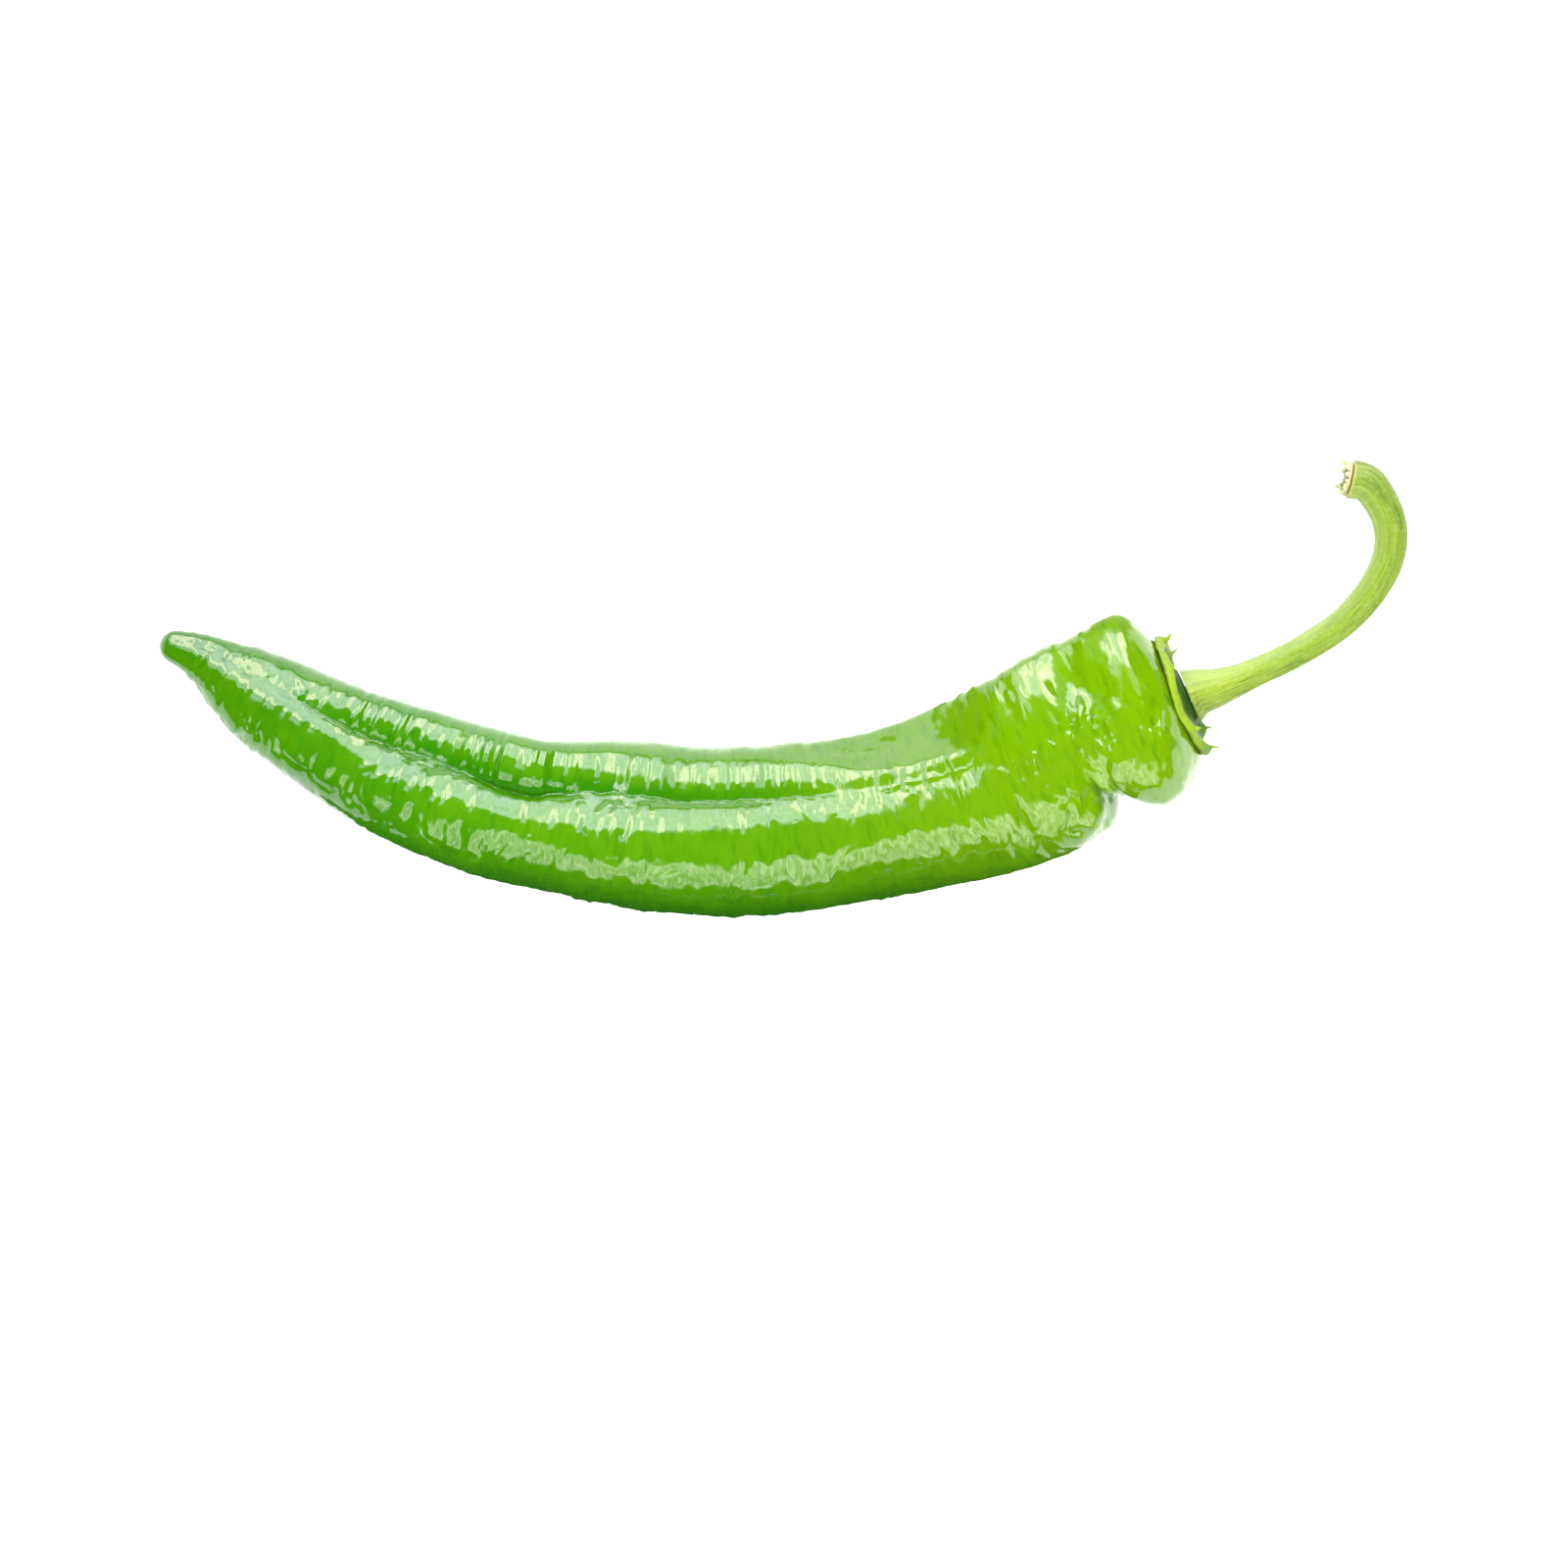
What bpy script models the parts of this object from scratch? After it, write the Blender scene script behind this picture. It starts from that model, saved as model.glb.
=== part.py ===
"""A long sweet pepper lying on its side: pod, calyx, stem and the torn end of the stem.

Run it with blender --background --python part.py, or from Blender's text editor.
+Z is up and +X runs from the pod's tip to the stem. The origin is on the surface that the
pepper lies on, under the middle of the whole pepper. Sizes here are in millimetres, and
make_object turns them into metres. Angles round the pod are in degrees: 0 faces up, 90 faces
the hollow side of the pod's bend (+Y), -90 its outer side (-Y) and 180 faces the surface.
"""

import math

import bpy
import numpy as np

MM = 0.001
GAP = 0.3
NEAR_ZERO = 0.02

# Where the whole pepper is moved, so that its box is centred over the origin.
PLACE = (1.0, 0.2, 0.0)

# The pod's centre line, from its tip to the seat of the calyx.
POD_LINE = (
    (-108.8, 8.5, 8.2),
    (-101.7, 5.7, 8.2),
    (-95.2, 1.4, 8.6),
    (-74.6, -10.5, 9.9),
    (-47.6, -20.5, 11.7),
    (-30.0, -23.0, 12.8),
    (-10.2, -24.5, 14.0),
    (17.0, -21.6, 14.0),
    (40.8, -14.4, 14.4),
    (54.4, -7.4, 15.4),
    (68.4, -1.4, 16.9),
)
# Half of the pod's width across the bend, by distance from the tip.
POD_HALF_WIDTH = (
    (0.0, 2.2),
    (4.0, 3.4),
    (10.0, 4.9),
    (16.0, 7.0),
    (22.0, 8.5),
    (30.0, 9.6),
    (40.0, 10.6),
    (52.0, 11.9),
    (64.0, 12.7),
    (74.0, 12.9),
    (86.0, 14.0),
    (106.0, 14.5),
    (118.0, 14.8),
    (128.0, 14.5),
    (138.0, 14.8),
    (148.0, 15.7),
    (156.0, 16.4),
    (164.0, 16.5),
    (176.0, 17.1),
    (188.0, 17.1),
)
POD_THICKNESS_SHARE = 0.93
TIP_ROUNDING = 1.8
LOBES = 3
LOBE_SHARE = 0.03
LOBE_ANGLE = 80.0

# The pod's body is made of round lobes side by side, each a circle in its cross-section. The
# flank lobe makes the outer side, the ridge lobe the crest, the hollow lobe the hollow side, and
# the under lobe the side on the floor. Radii and offsets go by distance from the tip.
RIDGE_ACROSS = ((0.0, 0.2), (20.0, -0.4), (36.0, -0.8), (44.0, -2.4), (60.0, -2.4), (72.0, -3.0),
                (90.0, -3.4), (100.0, -2.4), (120.0, -1.6), (135.0, -2.4), (158.0, -2.8))
RIDGE_RADIUS = ((0.0, 1.6), (8.0, 2.4), (20.0, 3.9), (36.0, 5.0), (44.0, 6.2), (60.0, 6.2),
                (72.0, 6.2), (80.0, 7.4), (90.0, 9.0), (100.0, 9.2), (120.0, 9.6), (135.0, 9.6),
                (158.0, 11.0))
FLANK_RADIUS = ((0.0, 2.0), (8.0, 3.6), (20.0, 6.4), (40.0, 8.2), (60.0, 9.4), (93.0, 10.6),
                (110.0, 11.5), (130.0, 12.5), (145.0, 13.5))
FLANK_DROP_SHARE = 0.03
HOLLOW_RADIUS = ((0.0, 1.6), (8.0, 3.0), (20.0, 5.7), (36.0, 5.6), (44.0, 5.3), (60.0, 5.7),
                 (72.0, 5.7), (80.0, 6.4), (90.0, 7.9), (100.0, 8.2), (112.0, 8.5), (125.0, 9.5),
                 (145.0, 11.0))
UNDER_ACROSS_SHARE = 0.12
UNDER_RADIUS_SHARE = 0.8
# How far across the pod the crest's groove lies, where ridge lobe and hollow lobe meet.
CREST_GROOVE = ((0.0, 1.0), (10.0, 1.9), (20.0, 2.6), (36.0, 3.1), (44.0, 3.4), (52.0, 4.2),
                (60.0, 4.0), (67.0, 3.2), (72.0, 3.1), (77.0, 4.2), (83.0, 4.6), (100.0, 5.0),
                (110.0, 5.4), (120.0, 5.0), (130.0, 4.5), (145.0, 4.0))
LOBE_SHARPNESS = 40.0
BODY_END = (144.0, 160.0)

# Narrow grooves that deepen where the lobes meet: how deep they are and how far their sides
# reach. The first follows the crest's groove, and the others have an angle of their own.
CREST_SLOT = {
    "depth": ((0.0, 0.0), (30.0, 0.1), (40.0, 0.6), (60.0, 0.7), (66.0, 1.2), (74.0, 1.2), (79.0, 0.5),
              (100.0, 0.35), (115.0, 0.15), (125.0, 0.0), (188.0, 0.0)),
    "reach": 0.7,
}
BACK_GROOVE = {
    "angle": ((0.0, 150.0), (60.0, 142.0), (120.0, 138.0), (188.0, 135.0)),
    "depth": ((0.0, 0.0), (138.0, 0.2), (148.0, 1.2), (165.0, 0.3), (188.0, 0.0)),
    "reach": 3.4,
}
FRONT_GROOVE = {
    "angle": ((0.0, -95.0), (60.0, -108.0), (120.0, -116.0), (188.0, -120.0)),
    "depth": ((0.0, 0.0), (138.0, 0.2), (150.0, 1.4), (170.0, 0.8), (188.0, 0.0)),
    "reach": 3.5,
}
GROOVE_SOFTNESS = 0.15

# The fold that runs round the pod between its body and its head: how far it is from the calyx
# seat and how deep it is, by angle. Its body side is steep where it is deepest.
FOLD_FROM_SEAT = ((-180.0, 17.0), (-135.0, 16.6), (-90.0, 16.2), (-60.0, 18.8), (-30.0, 21.0),
                  (0.0, 19.4), (35.0, 18.6), (60.0, 15.8), (90.0, 13.8), (135.0, 15.8), (180.0, 17.0))
FOLD_DEPTH = ((-180.0, 1.8), (-135.0, 4.8), (-90.0, 8.9), (-60.0, 5.4), (-30.0, 1.8),
              (0.0, 0.9), (35.0, 0.9), (60.0, 0.8), (90.0, 0.5), (135.0, 0.8), (180.0, 1.8))
FOLD_BODY_REACH = 1.7
FOLD_HEAD_REACH = 5.0

# Single dents and swellings of the skin: distance from the tip, angle, reach along the pod,
# reach round it, and depth. A swelling has a negative depth.
DENTS = (
    (155.5, -28.0, 1.1, 5.0, 0.9),
    (168.0, 42.0, 8.0, 8.0, -1.2),
    (172.8, 42.0, 3.2, 4.6, 2.0),
    (176.0, 28.0, 3.2, 4.5, 1.6),
    (185.2, 42.0, 1.3, 6.0, 0.6),
    (179.0, -62.0, 5.0, 7.0, -0.6),
    (162.0, -60.0, 6.0, 8.0, -0.8),
)

# A flat facet that cuts the hollow side before the head: the angle that it faces, and how far it
# is from the centre line as a share of the half width. It cuts nothing where that is over 1.1.
FACET_ANGLE = 50.0
FACET_SHARE = ((0.0, 1.2), (100.0, 1.2), (112.0, 1.04), (122.0, 0.95), (130.0, 0.88), (139.0, 0.86),
               (145.0, 0.86), (146.5, 0.87), (148.0, 0.905), (153.0, 1.03), (159.0, 1.15),
               (165.0, 1.25), (188.0, 1.3))
FACET_SHARPNESS = 60.0
# The far end of the facet slants: it starts further from the tip towards the crest.
FACET_SLANT = 10.0
FACET_SLANT_FROM = 80.0
FACET_SLANT_SPAN = 65.0
FACET_SLANT_POWER = 1.6
FACET_SLANT_LIMIT = 1.5
# The head is boxy on its upper hollow side: a broad arch, wider than the pod by this share, meets
# an upright wall at the pod's half width in an edge of this sharpness.
HEAD_ARCH_SHARE = ((150.0, 1.33), (170.0, 1.33), (180.0, 1.2), (188.0, 1.2))
HEAD_EDGE_SHARPNESS = 30.0

# The round shoulder at the calyx, on the hollow side and on the outer side of the bend.
SHOULDER_LENGTH = (5.6, 9.4)
SHOULDER_POWER = (0.5, 0.65)
SHOULDER_TURN = 0.8
SEAT_RADIUS = 10.2
# The shoulder ends lower under the calyx's draped upper edge: how much, the angle and the span.
SEAT_DROP = 1.0
SEAT_DROP_ANGLE = -15.0
SEAT_DROP_SPAN = 55.0
DRAPE_LENGTH = 16.0

# Calyx: its section from the stem seat to the edge and back to the middle of its underside, as
# radius and height over the pod's seat, and its teeth as angle, length and share of full width.
# The teeth stand up from the rim and lean outward.
CALYX_SECTION = ((4.5, 1.5), (5.3, 0.95), (7.2, 0.8), (8.9, 0.9), (10.0, 1.25), (10.6, 1.05),
                 (10.8, 0.6), (10.3, GAP), (5.0, GAP))
CALYX_EDGE_RINGS = {4: 0.8, 5: 1.0, 6: 0.3}
CALYX_TEETH = ((86.0, 1.6, 1.4), (132.0, 1.3, 0.8), (30.0, 0.4, 1.6), (-36.0, 0.9, 1.5),
               (-86.0, 1.7, 0.8), (-138.0, 1.3, 1.0), (178.0, 1.2, 1.0))
CALYX_TOOTH_REACH = 5.0
CALYX_TOOTH_OUTWARD = 0.45
# The cap drapes down over the pod's shoulder from this radius outward.
DRAPE_FROM = 6.5
DRAPE_REACH = 3.5
DRAPE_POWER = 1.5
# The slow wave of its edge: height, waves round the edge, where they start, waves that fade them.
CALYX_WAVE = 0.25
CALYX_WAVE_COUNT = 3
CALYX_WAVE_START = 40.0
CALYX_WAVE_FADES = 2

# The stem's centre line past its seat on the calyx, the length that it first runs straight out,
# how far its seat is shifted across the calyx, and its radius by distance from that seat.
STEM_STRAIGHT = 1.2
STEM_SHIFT = -0.5
STEM_LINE = (
    (74.6, 0.2, 18.2),
    (81.9, 3.1, 19.6),
    (89.4, 6.8, 21.0),
    (96.9, 12.0, 22.4),
    (101.3, 17.3, 23.5),
    (103.9, 23.3, 24.6),
    (103.9, 28.0, 25.3),
    (102.0, 32.4, 25.9),
    (99.6, 35.2, 26.2),
    (97.0, 35.8, 26.4),
)
STEM_RADIUS = ((0.0, 4.7), (2.0, 4.0), (5.0, 3.3), (8.0, 2.8), (12.0, 2.5), (18.0, 2.45),
               (35.0, 2.6), (45.0, 2.8), (54.0, 3.0), (60.0, 3.3))
STEM_RIDGES = 5
STEM_RIDGE_SHARE = 0.035

# The torn end: a ragged crown of pale tissue on the stem's end, round a hollow with a thick
# floor. Its shreds differ in length and lean in or out.
TORN_RADIUS = 3.0
TORN_FLOOR = 0.6
TORN_DOME = 0.3
TORN_WALL = 0.55
TORN_INSET = 0.25
TORN_SLANT = 0.15
TORN_SHREDS = (0.5, 1.7)
TORN_LEAN = (-0.3, 0.35)
TORN_SEED = 7

# Mesh fineness.
POD_SIDES = 42
POD_CROWDING = 0.3
POD_TIP_TURNS = (18.0, 40.0, 62.0)
POD_SPACING = 2.3
POD_HEAD_LENGTH = 26.0
POD_HEAD_RINGS = 15
POD_SHOULDER_RINGS = 9
CALYX_SIDES = 96
STEM_SIDES = 20
STEM_RINGS = 46
TORN_SIDES = 28
SHARP_DEGREES = 50.0

# Colour and roughness of each piece.
FINISH = {
    "pod": ((0.18, 0.46, 0.01), 0.25),
    "calyx": ((0.33, 0.52, 0.06), 0.5),
    "stem": ((0.42, 0.60, 0.10), 0.5),
    "stem_torn_end": ((0.70, 0.70, 0.42), 0.8),
}


def smooth_through(stations, at):
    """The smooth curve through the stations, each a position and its value or point, read at."""
    knots = np.array([station[0] for station in stations], float)
    values = np.array([station[1] for station in stations], float)
    slopes = np.gradient(values, knots, axis=0)
    at = np.clip(np.asarray(at, float), knots[0], knots[-1])
    left = np.clip(np.searchsorted(knots, at) - 1, 0, len(knots) - 2)
    step = knots[left + 1] - knots[left]
    t = (at - knots[left]) / step
    if values.ndim > 1:
        t, step = t[..., None], step[..., None]
    start = (2 * t**3 - 3 * t**2 + 1) * values[left] + (t**3 - 2 * t**2 + t) * step * slopes[left]
    end = (3 * t**2 - 2 * t**3) * values[left + 1] + (t**3 - t**2) * step * slopes[left + 1]
    return start + end


def by_distance(points):
    """The points of a line as stations, each with its distance from the first."""
    points = np.array(points, float)
    lengths = np.linalg.norm(np.diff(points, axis=0), axis=1)
    return list(zip(np.concatenate([[0.0], np.cumsum(lengths)]), points))


def line_length(points):
    return by_distance(points)[-1][0]


def unit(vectors):
    return vectors / np.linalg.norm(vectors, axis=-1, keepdims=True)


def frames_along(points, distances):
    """Centre, forward, side and up of a line at these distances. Side stays level."""
    line = by_distance(points)
    reach = 0.05
    centre = smooth_through(line, distances)
    ahead = smooth_through(line, distances + reach)
    behind = smooth_through(line, distances - reach)
    forward = unit(ahead - behind)
    side = unit(np.cross([0.0, 0.0, 1.0], forward))
    return centre, forward, side, np.cross(forward, side)


def wrapped(degrees):
    """The angle brought between -180 and 180 degrees."""
    return (degrees + 180.0) % 360.0 - 180.0


def bump(value):
    """A soft hill: 1 at 0, falling away on both sides."""
    return np.exp(-(value**2))


def circle_height(across, circle):
    """The upper height of a circle at a place across it. A circle is across, up and radius."""
    centre_across, centre_up, radius = circle
    return centre_up + np.sqrt(np.maximum(radius**2 - (across - centre_across) ** 2, 0.0))


def circle_outline(angle, circle):
    """How far a circle's outline is from the section's middle in a direction, or 0 off it."""
    across, up, radius = circle
    offset = np.hypot(across, up)
    turn = angle - np.arctan2(across, up)
    inside = radius**2 - (offset * np.sin(turn)) ** 2
    return np.where(inside > 0, offset * np.cos(turn) + np.sqrt(np.maximum(inside, 0.0)), 0.0)


def body_lobes(distance):
    """The circles of the body's lobes at these distances, and where the crest's groove lies."""
    half_width = smooth_through(POD_HALF_WIDTH, distance)
    top = half_width * POD_THICKNESS_SHARE
    ridge_radius = smooth_through(RIDGE_RADIUS, distance)
    ridge = (smooth_through(RIDGE_ACROSS, distance), top - ridge_radius, ridge_radius)
    flank_radius = smooth_through(FLANK_RADIUS, distance)
    flank_up = top - FLANK_DROP_SHARE * half_width - flank_radius
    flank = (flank_radius - half_width, flank_up, flank_radius)
    groove_across = smooth_through(CREST_GROOVE, distance)
    groove_up = np.maximum(circle_height(groove_across, ridge), circle_height(groove_across, flank))
    hollow_radius = smooth_through(HOLLOW_RADIUS, distance)
    hollow_across = half_width - hollow_radius
    hollow_up = groove_up - circle_height(groove_across, (hollow_across, 0.0, hollow_radius))
    under_radius = half_width * UNDER_RADIUS_SHARE
    under = (half_width * UNDER_ACROSS_SHARE, under_radius - top, under_radius)
    lobes = (ridge, flank, (hollow_across, hollow_up, hollow_radius), under)
    return lobes, np.degrees(np.arctan2(groove_across, groove_up))


def body_radius(distance, degrees):
    """The outline of the lobes together, with soft creases where they meet."""
    lobes, _ = body_lobes(distance)
    outlines = np.stack([circle_outline(np.radians(degrees), lobe) for lobe in lobes])
    outermost = outlines.max(axis=0)
    blended = ((outlines / outermost) ** LOBE_SHARPNESS).sum(axis=0) ** (1 / LOBE_SHARPNESS)
    return outermost * blended


def head_radius(distance, degrees):
    """A slightly flattened circle with three faint lobes, boxy on its upper hollow side."""
    angle = np.radians(degrees)
    half_width = smooth_through(POD_HALF_WIDTH, distance)
    half_height = half_width * POD_THICKNESS_SHARE
    boxy = (np.sin(angle) > 0) & (np.cos(angle) > 0)
    across = half_width * np.where(boxy, smooth_through(HEAD_ARCH_SHARE, distance), 1.0)
    radius = 1 / np.hypot(np.sin(angle) / across, np.cos(angle) / half_height)
    wall = half_width / np.maximum(np.sin(angle), NEAR_ZERO)
    edged = radius / (1 + (radius / wall) ** HEAD_EDGE_SHARPNESS) ** (1 / HEAD_EDGE_SHARPNESS)
    radius = np.where(boxy, edged, radius)
    return radius * (1 + LOBE_SHARE * np.cos(LOBES * (angle - math.radians(LOBE_ANGLE))))


def facet_cut(radius, distance, degrees, half_width):
    """The radius where the flat facet cuts it, with a softly rounded edge."""
    facing = np.cos(np.radians(wrapped(degrees - FACET_ANGLE)))
    towards_crest = np.clip((FACET_SLANT_FROM - wrapped(degrees)) / FACET_SLANT_SPAN, 0, FACET_SLANT_LIMIT)
    slanted = distance - FACET_SLANT * towards_crest**FACET_SLANT_POWER
    facet = smooth_through(FACET_SHARE, slanted) * half_width / np.maximum(facing, NEAR_ZERO)
    share = (radius / facet) ** FACET_SHARPNESS
    return radius / (1 + share) ** (1 / FACET_SHARPNESS)


def groove_depth(groove, centre, distance, degrees, radius):
    """How far a lengthwise groove lowers the skin: a soft V about its centre angle."""
    across = np.radians(wrapped(degrees - centre)) * radius
    steepness = np.sqrt((across / groove["reach"]) ** 2 + GROOVE_SOFTNESS**2) - GROOVE_SOFTNESS
    return smooth_through(groove["depth"], distance) * np.exp(-steepness)


def all_grooves_depth(distance, degrees, radius):
    _, crest = body_lobes(distance)
    total = groove_depth(CREST_SLOT, crest, distance, degrees, radius)
    for groove in (BACK_GROOVE, FRONT_GROOVE):
        centre = smooth_through(groove["angle"], distance)
        total = total + groove_depth(groove, centre, distance, degrees, radius)
    return total


def fold_depth(distance, degrees, length):
    """How far the fold between body and head lowers the skin."""
    angle = wrapped(degrees)
    past = distance - (length - smooth_through(FOLD_FROM_SEAT, angle))
    body_side = np.exp(-np.abs(past) / FOLD_BODY_REACH)
    head_side = np.exp(-((past / FOLD_HEAD_REACH) ** 2))
    return smooth_through(FOLD_DEPTH, angle) * np.where(past < 0, body_side, head_side)


def dent_depth(distance, degrees, radius):
    """How far the single dents lower the skin, and the swellings raise it."""
    total = np.zeros_like(distance)
    for place, angle, along, around, depth in DENTS:
        across = np.radians(wrapped(degrees - angle)) * radius
        total += depth * bump((distance - place) / along) * bump(across / around)
    return total


def seat_drop(degrees):
    """How far the calyx's edge and the pod's shoulder under it reach down along the pod."""
    return SEAT_DROP * bump(wrapped(degrees - SEAT_DROP_ANGLE) / SEAT_DROP_SPAN)


def draped(distances, degrees, length):
    """Distances of the rings' points, where the last rings follow the calyx's draped edge."""
    near = np.clip(1 - (length - distances) / DRAPE_LENGTH, 0, 1) ** 2
    return distances[:, None] - seat_drop(degrees) * near[:, None]


def pod_radius(distance, degrees, length):
    """The pod's radius at a distance from its tip, in a direction round its centre line."""
    half_width = smooth_through(POD_HALF_WIDTH, distance)
    to_head = np.clip((distance - BODY_END[0]) / (BODY_END[1] - BODY_END[0]), 0, 1)
    to_head = to_head * to_head * (3 - 2 * to_head)
    body, head = body_radius(distance, degrees), head_radius(distance, degrees)
    full = facet_cut(body + (head - body) * to_head, distance, degrees, half_width)
    full = full - all_grooves_depth(distance, degrees, half_width)
    full = full - fold_depth(distance, degrees, length) - dent_depth(distance, degrees, half_width)
    from_tip = np.clip(1 - distance / TIP_ROUNDING, 0, 1)
    full = full * np.sqrt(1 - from_tip**2)
    outer_share = (1 - np.sin(np.radians(degrees))) / 2
    shoulder = SHOULDER_LENGTH[0] + (SHOULDER_LENGTH[1] - SHOULDER_LENGTH[0]) * outer_share
    power = SHOULDER_POWER[0] + (SHOULDER_POWER[1] - SHOULDER_POWER[0]) * outer_share
    over = np.clip(1 - (length - seat_drop(degrees) - distance) / shoulder, 0, 1)
    end = (1 - SHOULDER_TURN**2) ** power
    share = ((1 - (SHOULDER_TURN * over) ** 2) ** power - end) / (1 - end)
    return SEAT_RADIUS + (full - SEAT_RADIUS) * share


def pod_distances(length):
    """Where the pod's rings lie, closer together at the tip, the fold and the shoulder."""
    tip = TIP_ROUNDING * (1 - np.cos(np.radians(POD_TIP_TURNS)))
    body = np.arange(TIP_ROUNDING, length - POD_HEAD_LENGTH - POD_SPACING / 2, POD_SPACING)
    head = np.linspace(length - POD_HEAD_LENGTH, length - SHOULDER_LENGTH[1], POD_HEAD_RINGS)
    turn = np.linspace(0, math.pi / 2, POD_SHOULDER_RINGS + 1)[1:]
    shoulder = length - SHOULDER_LENGTH[1] * (1 - np.sin(turn))
    return np.concatenate([tip, body, head, shoulder])


def pod_rings(length, sides):
    """The pod's surface as rings. A column of points runs along the bottom of the crest's groove."""
    distances = pod_distances(length)
    turn = np.arange(sides) * 2 * math.pi / sides
    spread = np.degrees(turn - POD_CROWDING * np.sin(turn))
    _, crest = body_lobes(distances)
    degrees = crest[:, None] + spread
    distance = draped(distances, degrees, length)
    centre, _, side, up = frames_along(POD_LINE, distance)
    radius = pod_radius(distance, degrees, length)
    angle = np.radians(degrees)[..., None]
    outward = np.cos(angle) * up + np.sin(angle) * side
    return centre + outward * radius[..., None]


def turned_rings(centre, axis, side, section, sides):
    """Rings of a shape turned about an axis: section has radius and height for each ring and side."""
    up = np.cross(axis, side)
    angle = np.arange(sides) * 2 * math.pi / sides
    outward = np.cos(angle)[:, None] * up + np.sin(angle)[:, None] * side
    radius, height = section
    return centre + outward[None] * radius[..., None] + axis * height[..., None]


def make_object(name, rings, start, end):
    """One closed mesh from rings of points, with a middle point that closes each end."""
    count, sides = rings.shape[:2]
    points = (np.concatenate([rings.reshape(-1, 3), [start, end]]) + PLACE) * MM
    first, last = count * sides, count * sides + 1
    faces = []
    for j in range(sides):
        k = (j + 1) % sides
        faces.append((first, j, k))
        faces.append((last, (count - 1) * sides + k, (count - 1) * sides + j))
        for i in range(count - 1):
            a, b = i * sides, (i + 1) * sides
            faces.append((a + j, b + j, b + k, a + k))
    mesh = bpy.data.meshes.new(name)
    mesh.from_pydata(points.tolist(), [], faces)
    mesh.materials.append(make_material(name))
    mesh.shade_smooth()
    mesh.set_sharp_from_angle(angle=math.radians(SHARP_DEGREES))
    bpy.context.scene.collection.objects.link(bpy.data.objects.new(name, mesh))


def make_material(name):
    colour, roughness = FINISH[name]
    material = bpy.data.materials.new(name)
    material.use_nodes = True
    shader = material.node_tree.nodes["Principled BSDF"]
    shader.inputs["Base Color"].default_value = (*colour, 1.0)
    shader.inputs["Roughness"].default_value = roughness
    shader.inputs["Metallic"].default_value = 0.0
    return material


def make_pod():
    """The fruit itself, pressed flat where its underside meets the surface."""
    length = line_length(POD_LINE)
    rings = pod_rings(length, POD_SIDES)
    rings[..., 2] = np.maximum(rings[..., 2], 0.0)
    make_object("pod", rings, start=np.array(POD_LINE[0]), end=np.array(POD_LINE[-1]))


def calyx_section(sides):
    """Radius and height of the calyx's rings, with its teeth and the slow wave of its edge."""
    degrees = np.arange(sides) * 360.0 / sides
    radius, height = (
        np.repeat(np.array(CALYX_SECTION)[:, [column]], sides, axis=1) for column in (0, 1)
    )
    tooth = np.zeros(sides)
    for angle, tooth_length, width in CALYX_TEETH:
        off = np.abs(wrapped(degrees - angle)) / (CALYX_TOOTH_REACH * width)
        tooth += tooth_length * np.clip(1 - off, 0, 1)
    fade = np.cos(np.radians(CALYX_WAVE_FADES * degrees))
    wave = CALYX_WAVE * fade * np.sin(np.radians(CALYX_WAVE_COUNT * degrees + CALYX_WAVE_START))
    for ring, share in CALYX_EDGE_RINGS.items():
        radius[ring] += share * (CALYX_TOOTH_OUTWARD * tooth + wave)
        height[ring] += share * tooth
    height -= seat_drop(degrees) * np.clip((radius - DRAPE_FROM) / DRAPE_REACH, 0, 1) ** DRAPE_POWER
    return radius, height


def pod_seat():
    """Centre, outward axis and side of the flat face where the calyx sits on the pod."""
    length = line_length(POD_LINE)
    centre, forward, side, _ = frames_along(POD_LINE, np.array([length]))
    return centre[0], forward[0], side[0]


def make_calyx():
    """The green cap of grown-together sepals, with short teeth on its edge."""
    centre, axis, side = pod_seat()
    section = calyx_section(CALYX_SIDES)
    rings = turned_rings(centre, axis, side, section, CALYX_SIDES)
    underside = centre + axis * GAP
    top = centre + axis * CALYX_SECTION[0][1]
    make_object("calyx", rings[::-1], start=underside, end=top)


def stem_points():
    """The stem's centre line, from just above the calyx to its torn end."""
    centre, axis, side = pod_seat()
    seat = centre + axis * (CALYX_SECTION[0][1] + GAP) + side * STEM_SHIFT
    return [seat, seat + axis * STEM_STRAIGHT, *STEM_LINE]


def make_stem():
    """The curved stem, flared at the calyx and at its end, with soft ridges along it."""
    points = stem_points()
    length = line_length(points)
    distances = np.linspace(0.0, length, STEM_RINGS)
    centre, _, side, up = frames_along(points, distances)
    angle = np.arange(STEM_SIDES) * 2 * math.pi / STEM_SIDES
    ridges = 1 + STEM_RIDGE_SHARE * np.cos(STEM_RIDGES * angle)
    radius = smooth_through(STEM_RADIUS, distances)[:, None] * ridges
    outward = (
        np.cos(angle)[None, :, None] * up[:, None] + np.sin(angle)[None, :, None] * side[:, None]
    )
    rings = centre[:, None] + outward * radius[..., None]
    make_object("stem", rings, start=centre[0], end=centre[-1])


def torn_section(sides):
    """Radius and height of the torn end's rings: up its outside, over the shreds, down inside."""
    draw = np.random.default_rng(TORN_SEED)
    shreds = TORN_FLOOR + draw.uniform(*TORN_SHREDS, sides)
    outer_edge = TORN_RADIUS - TORN_INSET + draw.uniform(*TORN_LEAN, sides)
    inner_foot = TORN_RADIUS - TORN_INSET - TORN_WALL
    section = (
        (TORN_RADIUS / 2, GAP),
        (TORN_RADIUS, GAP),
        (TORN_RADIUS, TORN_FLOOR),
        (outer_edge, shreds),
        (outer_edge - TORN_WALL, shreds - TORN_SLANT),
        (inner_foot, TORN_FLOOR),
        (inner_foot / 2, TORN_FLOOR + TORN_DOME),
    )
    return [np.array([np.broadcast_to(row[column], sides) for row in section]) for column in (0, 1)]


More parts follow.
